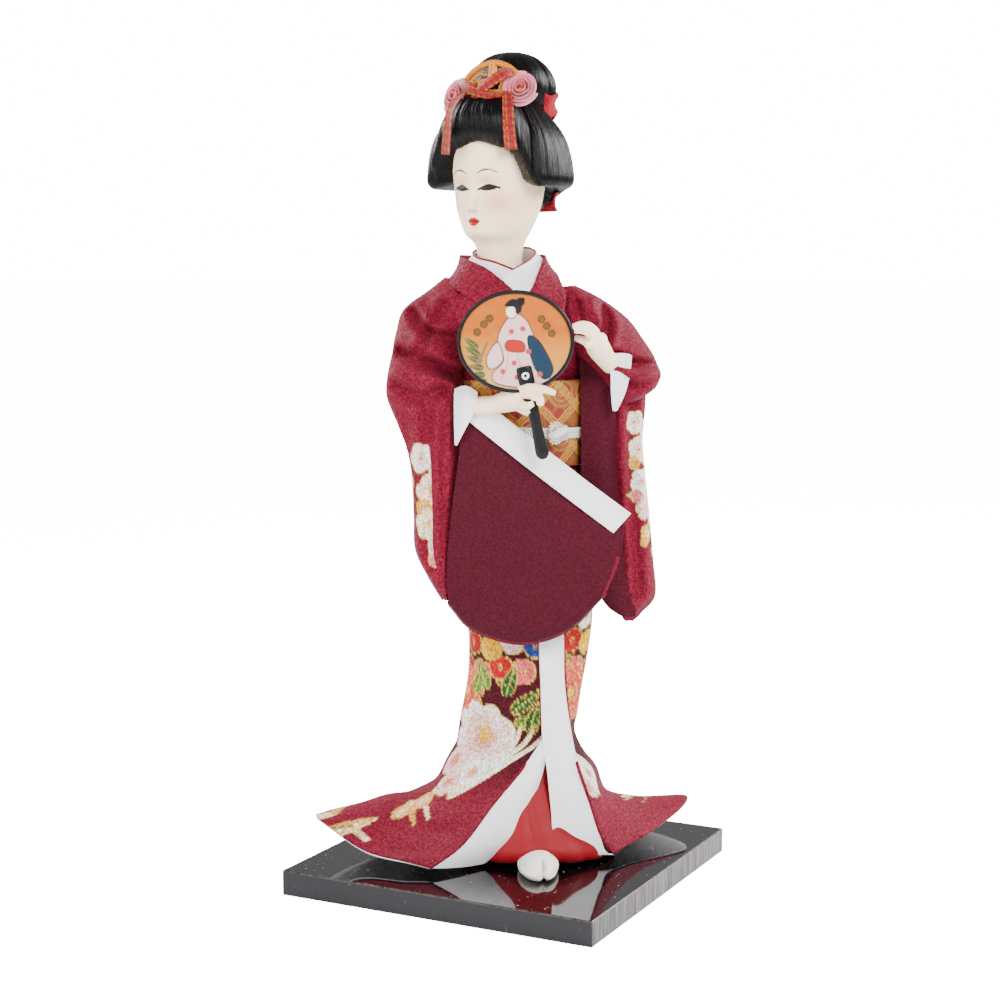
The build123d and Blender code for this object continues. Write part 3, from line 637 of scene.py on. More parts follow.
def print_skirt(u, v):
    """Flower print of the skirt; u runs from the left front edge round the figure, v up from the hem."""
    p = Painting(u, v, crepe_ground(u, v, 3))
    p.lay((1 - ease(v, 96, 108)) * ease(v, 30, 52) * 0.88, (0.022, 0.0012, 0.003))
    rng = np.random.default_rng(11)
    for k in range(20):
        p.bloom(rng.uniform(0, 200), rng.uniform(74, 104), 2.3, 5, (0.05, 0.035, 0.006), None, GOLD)
    for k in range(24):
        cu, cv = 5.6 + 8.4 * k, 91.0 + 1.6 * math.sin(k * 2.1)
        colours = (BLUE, PALE_PINK, YELLOW, PEONY_RED, WHITE)
        p.plum(cu - 4.0, cv, 4.6, colours[k % 5])
        p.plum(cu + 0.6, cv - 9.6, 4.8, PEONY_RED if k % 2 else (0.50, 0.05, 0.06))
        p.plum(cu, cv + 9.4, 4.4, colours[(k + 2) % 5])
        p.plum(cu - 4.2, cv + 18.4, 4.2, colours[(k + 4) % 5])
    for cu, cv, size in ((32, 72, 11), (62, 76, 10), (108, 72, 12), (150, 76, 11)):
        peony(p, cu, cv, size, (0.52, 0.04, 0.04), (0.36, 0.006, 0.010), int(cu))
    for base in (0, 66, 124):
        for cu, cv, turn, long in ((11, 66, 2.5, 15), (13, 72, 1.9, 13), (10, 62, 3.0, 12), (20, 74, 1.2, 12),
                                   (5, 58, 1.9, 13), (26, 72, 1.9, 10)):
            p.leaf(base + cu, cv, long, 3.2, turn, GREEN if cu % 2 else LEAF_LIGHT)
        for k in range(7):
            p.leaf(base + 19 + k * 0.6, 33 + k * 0.9, 34 - k * 1.6, 2.3, 2.24 - 0.115 * k, (0.80, 0.74, 0.66))
        cu = base + 22
        peony(p, cu, 57, 14.0, (0.84, 0.72, 0.70), (0.50, 0.025, 0.04), base + 3)
        p.bloom(cu + 7, 46, 6.4, 6, (0.78, 0.40, 0.42), (0.50, 0.04, 0.05))
        p.bloom(cu - 5, 43, 5.6, 6, WHITE, PINK)
        p.bloom(cu + 2, 38, 4.8, 6, PALE_PINK, (0.60, 0.08, 0.10))
    for cu, cv, turn in ((30, 30, -2.6), (36, 24, -0.5), (42, 20, -2.7), (48, 25, 0.2), (154, 20, 2.8),
                         (162, 17, 0.3)):
        p.stroke([(cu, cv), (cu + 5 * math.cos(turn - 0.5), cv + 5 * math.sin(turn - 0.5)),
                  (cu + 11 * math.cos(turn - 0.2), cv + 11 * math.sin(turn - 0.2))], 1.0, (0.72, 0.50, 0.26))
        p.leaf(cu, cv, 10, 1.1, turn + 0.25, (0.60, 0.16, 0.06))
        p.leaf(cu + 2, cv, 8, 0.9, turn - 0.6, (0.78, 0.62, 0.46))
    for cu, cv in ((31, 27), (27, 31), (157, 18)):
        p.bloom(cu, cv, 2.6, 5, (0.66, 0.22, 0.08), PALE_PINK)
    return p.rgb


def print_sleeve(u, v, low):
    """Flower spray near the lower outer edge of a sleeve."""
    p = Painting(u, v, crepe_ground(u, v, 5))
    for k, (cu, cv, size, colour) in enumerate(low):
        p.leaf(cu + 3, cv - 6, 7 + 2 * (k % 3), 2.4, 0.4 + 1.3 * k, (0.26, 0.36, 0.20))
        if k % 2:
            p.leaf(cu - 2, cv + 2, 8, 2.0, -1.9 + 0.8 * k, (0.66, 0.62, 0.52))
        p.bloom(cu, cv, size, 5, colour, PALE_PINK, GOLD, cu + k, 0.2)
        p.bloom(cu + size * math.cos(2.1 * k), cv - size, size * 0.5, 5, (WHITE, YELLOW, PINK)[k % 3], PINK)
    return p.rgb


def plain_paint(shape, colour, seed, amount=0.03):
    u, v = np.meshgrid(np.linspace(0, 6, shape[1]), np.linspace(0, 6, shape[0]))
    return np.asarray(colour) * (1 + amount * rumple(u, v, seed))[..., None]


def arc_lengths(grid):
    """Distance along every row and up every column of a net."""
    du = np.linalg.norm(np.diff(grid, axis=1), axis=2)
    dv = np.linalg.norm(np.diff(grid, axis=0), axis=2)
    u = np.concatenate([np.zeros((len(grid), 1)), np.cumsum(du, 1)], 1)
    v = np.concatenate([np.zeros((1, grid.shape[1])), np.cumsum(dv, 0)], 0)
    return u, v


def folded(grid, amount, seed, wave_u=9.0, wave_v=26.0, closed=False, hold=None):
    """Pushes a net in and out in soft folds that run mostly down its columns."""
    u, v = arc_lengths(grid)
    push = amount * rumple(u / wave_u, v / wave_v, seed)
    if closed:
        turn = np.linspace(0, 2 * np.pi, grid.shape[1], endpoint=False)
        push = amount * rumple(3.0 * np.cos(turn) + 0 * v, 3.0 * np.sin(turn) + v / wave_v, seed)
    if hold is not None:
        push = push * hold
    return grid + net_normals(grid, closed) * push[..., None]


def crease(grid, line, depth, width):
    """Presses a furrow into a net along a line of local x and z, keeping its front side only."""
    line = through(np.asarray(line, float), 40)
    gap = np.full(grid.shape[:2], 1e9)
    for x, z in line:
        gap = np.minimum(gap, np.hypot(grid[..., 0] - x, grid[..., 2] - z))
    along = np.exp(-((gap / width) ** 2)) - 0.55 * np.exp(-(((gap - width * 1.7) / width) ** 2))
    behind = grid[..., 1].mean(1, keepdims=True)
    grid[..., 1] += depth * along * ease(behind - grid[..., 1], 0.0, 3.0)
    return grid


def creased(grid, furrows):
    """Presses in several furrows, each given as line, depth and width."""
    for line, depth, width in furrows:
        grid = crease(grid, line, depth, width)
    return grid


# ------------------------------------------------------------------ skirt
# Height, middle x and y, half widths in x and y, and the x of the left and right front edges.
SKIRT_LEVELS = [
    (157.0, 2.5, 0.0, 25.0, 16.0, 13.0, 13.0), (130.0, 3.0, 0, 25.7, 16.7, 12.0, 15.0),
    (112.0, 5.0, 0, 25.0, 16.8, 10.4, 18.6), (97.0, 7.2, 0, 23.0, 16.8, 10.4, 19.4),
    (80.0, 6.2, 0, 21.6, 17.0, 10.8, 19.9), (64.0, 3.6, 0, 21.6, 17.4, 11.2, 21.4),
    (54.5, 2.4, 0, 21.9, 18.4, 11.4, 22.4),
]
SKIRT_FLARE = [
    [(24.6, -19.2, 47), (30, -11, 44), (32, 4, 42), (28, 16, 42), (16, 22, 42), (2, 23, 42),
     (-11, 21, 42), (-20, 13, 43), (-24, 1, 44), (-17.5, -12, 46), (4.4, -20.7, 46)],
    [(29.0, -19.9, 34), (35, -9, 32), (37, 7, 31), (29, 20, 30), (15, 26, 30), (1, 27, 30),
     (-13, 24, 31), (-24, 15, 34), (-30, 0, 35), (-23, -15, 34), (-6.5, -25.6, 34)],
    [(33.4, -19.2, 20.5), (45, -1, 21.5), (54, 24, 21.5), (42, 34, 20), (23, 38, 18.5), (2, 38, 18),
     (-19, 33, 18.5), (-36, 22, 23), (-47, 0, 28), (-37, -16, 23), (-17.6, -30.8, 20.5)],
    [(38.5, -17.1, 12.6), (56, 6, 15.5), (70.5, 35.5, 18.8), (53, 45, 15), (30, 47, 13), (4, 47, 12.6),
     (-24, 42, 13), (-49, 24, 19), (-73.5, -5.6, 21.4), (-55, -20.5, 14.4), (-29.5, -34, 12.2)],
]


def skirt_rows():
    """Ovals left open at the front, then the drawn rows of the flare."""
    rows = []
    for z, x, y, rx, ry, left_x, right_x in SKIRT_LEVELS:
        start = -math.acos((right_x - x) / rx)
        stop = 2 * math.pi - math.acos((left_x - x) / rx)
        a = np.linspace(start, stop, 11)
        rows.append(np.stack([x + rx * np.cos(a), y + ry * np.sin(a), np.full(11, z)], -1))
    return rows + [np.array(row, float) for row in SKIRT_FLARE]


def skirt_net(across, down):
    grid = net(skirt_rows(), across, down)
    u, v = arc_lengths(grid)
    low = ease(-grid[..., 2], -60, -18)
    away = np.minimum(u, u[:, -1:] - u)
    grid = folded(grid, 0.75, 21, 13, 60, hold=(0.25 + low) * ease(away, 0, 14))
    wing = low * bump_at(u / u[:, -1:], 0.83, 0.05)
    grid[..., 2] += 4.0 * wing * ease(-grid[..., 2], -45, -22)
    return grid


def dense_at_end(count, dense_from, share):
    """Places along a length, with the given share of the points beyond dense_from."""
    few = int(count * (1 - share))
    return np.concatenate([np.linspace(0, dense_from, few, endpoint=False),
                           np.linspace(dense_from, 1, count - few)])


def make_skirt():
    grid = skirt_net(dense_at_end(250, 0.55, 0.66), 182)
    u, v = arc_lengths(grid)
    rgb = print_skirt(u[:, -1:] - u, grid[..., 2])
    skirt = net_piece("kimono_skirt_cloth", grid, on_figure, paint=rgb, thick=0.45)
    settle(skirt, "figure", crepe(), ["kimono_skirt"])
    inner = skirt_net(110, 90)
    inner = inner - net_normals(inner) * 0.75 * inward_sign(inner)
    lining = net_piece("skirt_lining_cloth", inner, on_figure, thick=0.3,
                       paint=plain_paint(inner.shape, WHITE, 4))
    settle(lining, "figure", white_satin(), ["skirt_lining"])
    top_of_opening = 118
    for name, edge in (("left_piping", grid[:, -1]), ("right_piping", grid[:, 0])):
        keep = edge[edge[:, 2] < top_of_opening]
        piping = tube(name, through(keep, 150), 0.62, on_figure, 8,
                      paint=plain_paint((150, 8), MAROON, 8))
        settle(piping, "figure", crepe())


def inward_sign(grid):
    """1 where the net's normal points out of the figure, so that a lining goes inside."""
    n = net_normals(grid)
    middle_row = len(grid) // 4
    centre = grid[middle_row].mean(0)
    facing = ((grid[middle_row] - centre) * n[middle_row]).sum(-1).mean()
    return 1.0 if facing > 0 else -1.0


def make_front_linings():
    """White satin that shows inside the two front edges."""
    satin = white_satin()
    right = band("right_front_lining",
                 [(10.4, -17.0, 118), (10.3, -17.6, 92), (10.9, -18.1, 76), (11.6, -18.9, 55.5),
                  (13.3, -20.6, 45), (14.8, -22.6, 30), (15.9, -23.6, 19.7), (20.5, -23.2, 13.0)],
                 [(18.8, -15.4, 118), (19.5, -16.6, 97), (20.0, -17.5, 76), (23.1, -18.1, 55.3),
                  (26.7, -19.1, 40.7), (30.9, -19.6, 29.1), (34.8, -18.2, 14.8), (38.4, -16.9, 12.3)],
                 on_figure, 120, 26, 0.9, 0.5, plain_paint((120, 26), WHITE, 9))
    settle(right, "figure", satin)
    left = band("left_front_lining",
                [(11.4, -18.6, 56.0), (4.0, -20.6, 45.5), (-6.2, -25.2, 34.0), (-16.8, -30.2, 21.0),
                 (-29.3, -33.6, 12.2)],
                [(12.4, -18.0, 49.0), (11.0, -18.6, 42.0), (7.0, -20.4, 32.0), (0.5, -23.0, 20.5),
                 (-9.5, -23.0, 11.0)],
                on_figure, 110, 24, -1.0, 0.5, plain_paint((110, 24), WHITE, 10))
    settle(left, "figure", satin)


# Height, middle x and y, half widths in x and y.
ROBE_ROWS = [
    (118.0, 4.5, 0, 22.0, 14.4), (90.0, 8.0, 0, 19.0, 14.2), (67.0, 4.0, 0, 18.8, 14.6),
    (50.0, 2.5, -0.5, 19.0, 15.9), (38.0, 5.0, -0.8, 19.0, 19.0), (24.0, 8.0, -1.2, 22.5, 23.0),
    (15.5, 9.5, -1.5, 27.5, 26.8), (11.2, 9.5, -1.0, 29.5, 26.0),
]


def make_under_robe():
    rows = [oval_row(x, y, z, rx, ry, -90, 360, 24) for z, x, y, rx, ry in ROBE_ROWS]
    grid = net(rows, 180, 84, closed=True)
    turn = np.linspace(0, 2 * np.pi, 180, endpoint=False)[None, :]
    low = ease(-grid[..., 2], -52, -14)
    waves = np.sin(turn * 11 + 0.6) * 0.6 + np.sin(turn * 19 + grid[..., 2] / 17) * 0.2
    grid[..., :2] += net_normals(grid, True)[..., :2] * (waves * low * 0.75)[..., None]
    over_foot = bump_at(grid[..., 0], 10.5, 8.0) * (grid[..., 1] < -14) * ease(-grid[..., 2], -24, -11)
    grid[..., 2] += over_foot * 3.2
    robe = net_piece("under_robe_cloth", grid, on_figure, closed=True, thick=0.45,
                     paint=plain_paint(grid.shape, RED, 12, 0.05))
    settle(robe, "figure", red_silk(), ["under_robe"])


def make_foot(name, cad, x, y, length, split):
    """Split-toed white sock with a groove beside the big toe."""
    low = BOARD_TOP / MM + 0.4
    half = length / 2
    rows = [(low, 0.2, 6.6, half - 1.0), (low + 1.1, 0, 7.5, half), (low + 2.8, 0.4, 7.5, half - 0.2),
            (low + 4.6, 2.4, 6.6, half - 2.2), (low + 6.2, 5.0, 5.6, half - 5.0),
            (low + 8.0, 8.0, 5.0, half - 8.6)]
    rings = [oval_row(x, y + shift, z, rx, ry, -90, 360, 24) for z, shift, rx, ry in rows]
    grid = net(rings, 120, 48, closed=True)
    front = ease(-(grid[..., 1] - y), half - 11.0, half - 6.0)
    groove = bump_at(grid[..., 0], x + split, 0.75) * front
    lobe = bump_at(grid[..., 0], x + split + 3.0, 2.6) * front
    grid[..., 1] += groove * 3.2 - lobe * 1.0
    grid[..., 2] -= groove * ease(grid[..., 2], low + 1, low + 5) * 2.0
    grid[..., 0] += front * 0.25 * np.sin(grid[..., 2] * 2)
    sock = net_piece(name, grid, on_figure, closed=True, capped=True,
                     paint=plain_paint(grid.shape, (0.80, 0.75, 0.68), 3))
    settle(sock, "figure", smooth_cloth("white cotton", 0.15, 0.5, 1500.0), [cad])


def make_feet():
    make_foot("right_sock", "right_foot", 10.0, -26.6, 33.0, 1.6)
    make_foot("left_sock", "left_foot", 11.0, 5.4, 27.0, -1.6)


# ------------------------------------------------------------------ bodice, collars and obi
def make_bodice():
    rows = [(157.0, 2.5, 0, 25.2, 16.2), (189.0, 2.0, 0, 25.5, 16.6), (205.0, 0.0, -0.4, 27.0, 17.0),
            (216.0, -1.5, -0.2, 25.5, 16.6), (221.0, -3.0, 0.5, 20.5, 14.2), (225.0, -3.4, 1.5, 14.0, 10.6)]
    grid = net([oval_row(x, y, z, rx, ry) for z, x, y, rx, ry in rows], 200, 120, closed=True)
    grid = folded(grid, 0.35, 31, 10, 26, closed=True)
    bodice = net_piece("kimono_bodice_cloth", grid, on_figure, closed=True, thick=0.45,
                       paint=plain_paint(grid.shape, MAROON, 31))
    settle(bodice, "figure", crepe(), ["kimono_bodice"])


# Each collar is two lines, inner and outer, from the nape round one side of the neck down to the chest.
COLLAR_LINES = {
    "under_collar_lower": (
        [(-4, 10.8, 236.2), (-11.0, 7.4, 236.0), (-13.9, 0.0, 234.8), (-12.4, -6.9, 232.8),
         (-6.2, -10.8, 231.2), (1.0, -13.2, 228.4), (7.0, -15.0, 223.5)],
        [(-4, 15.0, 230.0), (-15.0, 10.6, 230.6), (-18.6, 1.0, 230.8), (-17.4, -7.0, 229.4),
         (-11.6, -11.6, 225.6), (-4.6, -13.6, 222.0), (1.6, -14.6, 218.5)]),
    "under_collar_upper": (
        [(-4, 11.0, 236.8), (3.6, 7.6, 236.6), (7.2, 1.0, 236.2), (8.8, -5.4, 234.4),
         (6.2, -10.6, 231.6), (0.6, -14.4, 228.3), (-3.0, -15.6, 225.0)],
        [(-4, 15.4, 230.2), (7.5, 10.6, 230.6), (12.6, 1.0, 231.4), (13.2, -7.4, 228.4),
         (10.4, -13.0, 222.6), (5.6, -16.6, 218.8), (1.5, -17.4, 217.0)]),
    "kimono_collar_lower": (
        [(-4, 15.2, 233.6), (-14.4, 11.6, 234.0), (-19.0, 2.0, 233.9), (-15.6, -8.0, 232.2),
         (-8.4, -13.9, 228.6), (0.5, -17.4, 221.4), (11.0, -18.8, 211.0)],
        [(-4, 18.0, 224.0), (-16.6, 13.0, 225.0), (-22.6, 2.0, 225.6), (-22.2, -7.0, 222.9),
         (-14.0, -14.4, 217.6), (-5.6, -17.8, 211.0), (5.0, -19.4, 202.0)]),
    "kimono_collar_upper": (
        [(-4, 15.6, 233.8), (7.0, 11.6, 234.0), (11.6, 2.0, 234.0), (11.8, -8.0, 232.4),
         (9.6, -13.6, 227.0), (6.4, -17.8, 220.6), (-5.0, -20.0, 208.0)],
        [(-4, 18.4, 224.0), (9.0, 13.0, 225.4), (15.4, 2.0, 227.4), (17.6, -8.0, 224.2),
         (19.6, -13.4, 217.6), (16.0, -18.0, 207.4), (4.0, -20.4, 197.0)]),
}


def make_collars():
    satin = smooth_cloth("white crepe de chine", 0.3, 0.42, 1100.0)
    for name, (inner, outer) in COLLAR_LINES.items():
        white = name.startswith("under")
        tone, finish = (WHITE, satin) if white else (MAROON, crepe())
        nodes = {"under_collar_lower": ["under_collar"], "kimono_collar_lower": ["kimono_collar"]}
        sense = -1 if name.endswith("lower") else 1
        collar = band(name, inner, outer, on_figure, 130, 16, 0.55 * sense, 0.7,
                      plain_paint((130, 16), tone, len(name)))
        settle(collar, "figure", finish, nodes.get(name, ()))
    for name, key in (("lower_collar_trim", "under_collar_lower"),
                      ("upper_collar_trim", "under_collar_upper")):
        line = np.asarray(COLLAR_LINES[key][0][:6], float)
        line[:, 2] += 0.25
        red = tube(name, through(line, 110), 0.38, on_figure, 8, paint=plain_paint((110, 8), RED, 2))
        settle(red, "figure", red_silk(),
               ["collar_trim"] if name.startswith("lower") else ())


def brocade_paint(u, v):
    """Gold and orange lozenges with fans between diagonal lines on a red ground."""
    p = Painting(u, v, (0.36, 0.060, 0.0))
    tile = 15.0
    a = ((u + v) / tile) % 1.0
    b = ((u - v) / tile) % 1.0
    p.lay(ease(np.abs(a - 0.5), 0.22, 0.30) * 0.7, (0.34, 0.11, 0.006))
    p.lay((0.15 - np.abs(b - 0.25)) / 0.03 * (a > 0.5), (0.34, 0.010, 0.004))
    p.lay((0.12 - np.abs(a - 0.75)) / 0.03 * (b > 0.55), (0.30, 0.018, 0.006))
    ring = np.hypot(((u / 11.0) % 1.0 - 0.5) * 11.0, ((v / 16.0) % 1.0 - 0.5) * 16.0)
    p.lay((0.35 - np.abs((ring % 1.9) - 0.95)) / 0.2 * (ring < 5.2), (0.55, 0.27, 0.03))
    for shift in (-0.1, 0.0, 0.1):
        for lines in (a, b):
            p.lay((0.032 - np.abs((lines + shift) % 1.0 - 0.5)) / 0.012, (0.72, 0.38, 0.025))
    return p.rgb


def make_obi():
    rows = [(157.2, 27.2, 17.9), (158.2, 27.9, 18.5), (165, 28.0, 18.7), (168.2, 27.6, 18.4),
            (170.0, 27.4, 18.2), (172, 27.6, 18.4), (175.5, 28.1, 18.8), (182, 28.2, 18.8),
            (187.6, 28.0, 18.6), (188.8, 27.3, 18.0)]
    grid = net([oval_row(2.4, 0, z, rx, ry) for z, rx, ry in rows], 340, 84, closed=True)
    grid = folded(grid, 0.12, 41, 10, 12, closed=True)
    turn = np.linspace(0, 2 * np.pi, 340, endpoint=False)
    u = np.broadcast_to(turn * 23.9, grid.shape[:2])
    sash = net_piece("obi_cloth", grid, on_figure, closed=True, thick=0.9,
                     paint=brocade_paint(u, grid[..., 2]))
    settle(sash, "figure", brocade(), ["obi"])


def make_obi_bow():
    """Drum bow: a broad loop of the sash folded under itself, with a hanging end."""
    profile = [(20.4, 188), (24.5, 194.6), (30.5, 195.0), (34.4, 190.5), (35.2, 180.0), (34.6, 166.0),
               (33.0, 155.6), (28.5, 152.4), (23.2, 155.0), (21.2, 160.0)]
    line = through(np.asarray(profile, float), 90)
    share = np.linspace(0, 1, 70)
    x = 2.5 + (share - 0.5) * 36.0
    grid = np.empty((90, 70, 3))
    grid[..., 0] = x
    bulge = 1 - (2 * share - 1) ** 6
    grid[..., 1] = 21.5 + (line[:, :1] - 21.5) * (0.78 + 0.22 * bulge)[None, :]
    grid[..., 2] = 174 + (line[:, 1:] - 174) * (0.90 + 0.10 * bulge)[None, :]
    grid = folded(grid, 0.5, 44, 12, 14)
    u, v = arc_lengths(grid)
    drum = net_piece("obi_bow_loop", grid, on_figure, thick=1.0, paint=brocade_paint(u, v))
    settle(drum, "figure", brocade(), ["obi_bow"])
    flap = [[(x - 14.5, 36.4 - 0.6 * s, 168 - 22 * s) for x in (0, 9, 18, 27, 34)]
            for s in (0, 0.35, 0.7, 1.0)]
    grid = folded(net(flap, 60, 44), 0.35, 46, 9, 16)
    u, v = arc_lengths(grid)
    end = net_piece("obi_bow_end", grid, on_figure, thick=0.9, paint=brocade_paint(u + 4, v + 3))
    settle(end, "figure", brocade())


def grain_model():
    """One slanting stitch of a braided cord, modelled once."""
    bpy.ops.object.select_all(action="DESELECT")
    bpy.ops.mesh.primitive_uv_sphere_add(segments=8, ring_count=6, radius=1.0)
    grain = bpy.context.object
    points = np.array([tuple(v.co) for v in grain.data.vertices])
    faces = [tuple(f.vertices) for f in grain.data.polygons]
    bpy.data.objects.remove(grain)
    return points, faces


def braided(name, line, rows, width, size):
    """Flat braid along a line: slanting stitches in rows, each row leaning the other way."""
    points, faces = grain_model()
    count = int(np.linalg.norm(np.diff(line, axis=0), axis=1).sum() / (size * 1.55))
    line = through(line, count)
    along = np.gradient(line, axis=0)
    along /= np.linalg.norm(along, axis=1, keepdims=True)
    out = np.cross(along, (0.0, 0.0, 1.0))
    out /= np.maximum(np.linalg.norm(out, axis=1, keepdims=True), 1e-6)
    up = np.cross(out, along)
    all_points, all_faces = [], []
    for k in range(count):
        for row in range(rows):
            lift = (row - (rows - 1) / 2) * width / rows
            lean = 0.75 if row % 2 else -0.75
            a = along[k] * math.cos(lean) + up[k] * math.sin(lean)
            b = np.cross(out[k], a)
            centre = line[k] + up[k] * lift + along[k] * (0.5 * size if row % 2 else 0)
            shape = (points[:, :1] * a * size * 1.25 + points[:, 1:2] * b * size * 0.62
                     + points[:, 2:] * out[k] * size * 0.72)
            base = len(all_points) * len(points)
            all_points.append(centre + shape)
            all_faces += [tuple(i + base for i in face) for face in faces]
    whole = on_figure(np.concatenate(all_points))
    paint = np.tile(CORD_WHITE, (len(whole), 1))
    uv = whole[:, :2]
    return new_mesh(name, whole, all_faces, uv, paint)


def make_cord():
    cotton = smooth_cloth("white cord", 0.3, 0.55, 2400.0)
    turn = np.radians(np.linspace(-60, 298, 90))
    ring = np.stack([2.4 + 28.6 * np.cos(turn), 19.4 * np.sin(turn), np.full(90, 170.0)], -1)
    ring[:, 2] += 0.5 * np.sin(turn * 2)
    cord = braided("obi_cord_braid", ring, 4, 4.0, 0.62)
    settle(cord, "figure", cotton, ["obi_cord"])
    t = np.linspace(0, 2 * np.pi, 90)
    loops = np.stack([17.0 + 3.0 * np.cos(t) * (1 + 0.22 * np.cos(3 * t)),
                      -20.9 - 0.9 * np.cos(3 * t), 170.0 + 2.9 * np.sin(t) * (1 + 0.22 * np.cos(3 * t))], -1)
    knot = braided("cord_knot_outer", loops, 2, 2.3, 0.6)
    heart = tube("cord_knot_heart", through([(14.6, -20.6, 168.6), (16.4, -22.6, 169.6),
                 (18.2, -22.4, 170.8), (19.8, -20.6, 171.4)], 20), 1.5, on_figure, 12,
                 paint=np.tile(CORD_WHITE, (240, 1)))
    whole = joined("obi_cord_knot_braid", [knot, heart])
    settle(whole, "figure", cotton, ["obi_cord_knot"])


# ------------------------------------------------------------------ sleeves
# Rows of height, left x, right x, front y, back y.
RIGHT_SLEEVE = [
    (225.5, -24.0, -12.0, -5.0, 8.5), (220.4, -30.0, -14.0, -9.0, 9.6), (213.6, -38.6, -16.0, -12.0, 9.6),
    (206.0, -41.2, -17.4, -16.0, 8.8), (198.0, -42.8, -17.0, -19.0, 7.0), (190.0, -44.8, -16.6, -21.6, 4.0),
    (182.0, -45.2, -18.2, -22.2, 0.0), (172.0, -41.6, -19.4, -22.0, -4.0), (160.0, -38.2, -19.8, -21.5, -7.0),
    (140.0, -36.2, -20.6, -21.5, -10.0), (127.0, -35.2, -21.2, -21.8, -12.0),
    (117.0, -30.0, -22.0, -22.0, -14.5), (109.0, -24.6, -22.6, -22.2, -18.6),
]
LEFT_SHOULDER = [
    (222.0, 14.0, 24.0, -6.0, 8.5), (217.4, 15.0, 34.0, -9.0, 9.4), (211.0, 17.0, 43.4, -12.5, 9.4),
    (204.0, 20.0, 49.0, -16.0, 8.8), (197.0, 25.0, 53.4, -18.6, 7.6), (190.6, 31.0, 55.6, -19.0, 6.0),
    (185.4, 35.4, 53.6, -17.4, 5.0), (181.0, 37.4, 48.0, -14.0, 4.0),
]
LEFT_BAG = [
    (190.0, 31.0, 49.5, -10.0, 6.0), (178.0, 30.6, 49.2, -11.0, 6.5), (166.0, 30.8, 48.6, -11.5, 6.5),
    (150.0, 31.2, 50.4, -11.5, 6.5), (136.0, 31.6, 52.0, -11.5, 6.0), (120.0, 32.4, 53.4, -11.5, 5.0),
    (108.0, 35.0, 53.9, -11.0, 3.0), (102.0, 39.5, 49.0, -9.5, 0.0), (98.6, 42.4, 45.4, -7.5, -3.5),
]


def sleeve_ring(z, left, right, front, back, count=28, power=0.78):
    a = np.radians(-90) + 2 * np.pi * np.arange(count) / count
    c, s = np.cos(a), np.sin(a)
    x = (left + right) / 2 + (right - left) / 2 * np.sign(c) * np.abs(c) ** power
    y = (front + back) / 2 + (back - front) / 2 * np.sign(s) * np.abs(s) ** power
    return np.stack([x, y, np.full(count, float(z))], -1)


def sleeve_net(rows, across, down, seed, amount):
    grid = net([sleeve_ring(*row) for row in rows], across, down, closed=True)
    return folded(grid, amount, seed, closed=True, wave_v=34)


def make_right_sleeve():
    grid = sleeve_net(RIGHT_SLEEVE, 250, 176, 51, 0.8)
    grid = creased(grid, (
            ([(-20, 204), (-30, 206), (-36, 213)], 3.6, 2.0), ([(-16, 190), (-27, 194), (-40, 199)], 4.6,
                                                               2.3),
            ([(-24, 186), (-33, 183), (-42, 187)], 2.6, 2.2), ([(-24, 216), (-28, 209), (-33, 200)], 2.2,
                                                               1.9),
            ([(-30, 180), (-31, 150), (-29, 122)], 2.0, 2.6), ([(-24, 176), (-24.5, 150), (-25, 120)], 1.3,
                                                               1.8),
            ([(-38, 176), (-36, 155), (-34.5, 132)], 1.2, 2.0)))
    flowers = [(-37.0, 161.0, 5.6, (0.82, 0.70, 0.66)), (-33.0, 149.0, 6.2, (0.80, 0.52, 0.40)),
               (-27.5, 155.0, 4.4, (0.80, 0.50, 0.52)), (-34.0, 137.0, 5.8, APRICOT),
               (-27.0, 142.0, 4.2, WHITE), (-30.0, 128.0, 4.6, (0.78, 0.40, 0.42)),
               (-26.5, 133.0, 3.2, YELLOW), (-46.0, 152.0, 5.4, APRICOT),
               (-50.0, 138.0, 5.0, WHITE), (-58.0, 147.0, 4.4, ROSE)]
    round_way = arc_lengths(grid)[0]
    rgb = print_sleeve(grid[:, :1, 0] + round_way - round_way[:, -1:] - 4.0, grid[..., 2], flowers)
    sleeve = net_piece("right_sleeve_cloth", grid, on_figure, closed=True, capped=True, paint=rgb)
    settle(sleeve, "figure", crepe(), ["right_sleeve"])


def make_left_sleeve():
    """Upper sleeve from shoulder to elbow and the hanging bag under it."""
    shoulder = sleeve_net(LEFT_SHOULDER, 240, 120, 57, 0.7)
    shoulder = creased(shoulder, (
            ([(33, 216), (35, 209), (33, 201)], 3.2, 1.9), ([(36, 198), (44, 195), (54, 194)], 3.6, 2.0),
            ([(38, 190), (45, 187), (53, 189)], 2.6, 1.9), ([(24, 216), (25, 208), (23, 199)], 2.0, 1.7)))
    upper = net_piece("left_sleeve_upper", shoulder, on_figure, closed=True, capped=True,
                      paint=crepe_ground(shoulder[..., 0], shoulder[..., 2], 6))
    settle(upper, "figure", crepe(), ["left_sleeve"])
    bag = sleeve_net(LEFT_BAG, 220, 170, 59, 0.75)
    bag = creased(bag, (([(36, 186), (38, 150), (41, 106)], 1.8, 2.4),
                        ([(44, 184), (44.5, 150), (47, 110)], 1.6, 2.2)))
    flowers = [(47.5, 173, 4.4, (0.80, 0.66, 0.62)), (49.5, 163, 5.0, (0.80, 0.56, 0.44)),
               (50.5, 151, 5.2, WHITE), (51.5, 141, 4.2, ROSE), (52.5, 132, 3.4, YELLOW),
               (60.0, 156, 5.0, APRICOT), (64.0, 143, 4.6, WHITE), (71.0, 152, 4.2, ROSE)]
    lower = net_piece("left_sleeve_bag", bag, on_figure, closed=True, capped=True,
                      paint=print_sleeve(bag[:, :1, 0] + arc_lengths(bag)[0], bag[..., 2], flowers))
    settle(lower, "figure", crepe())


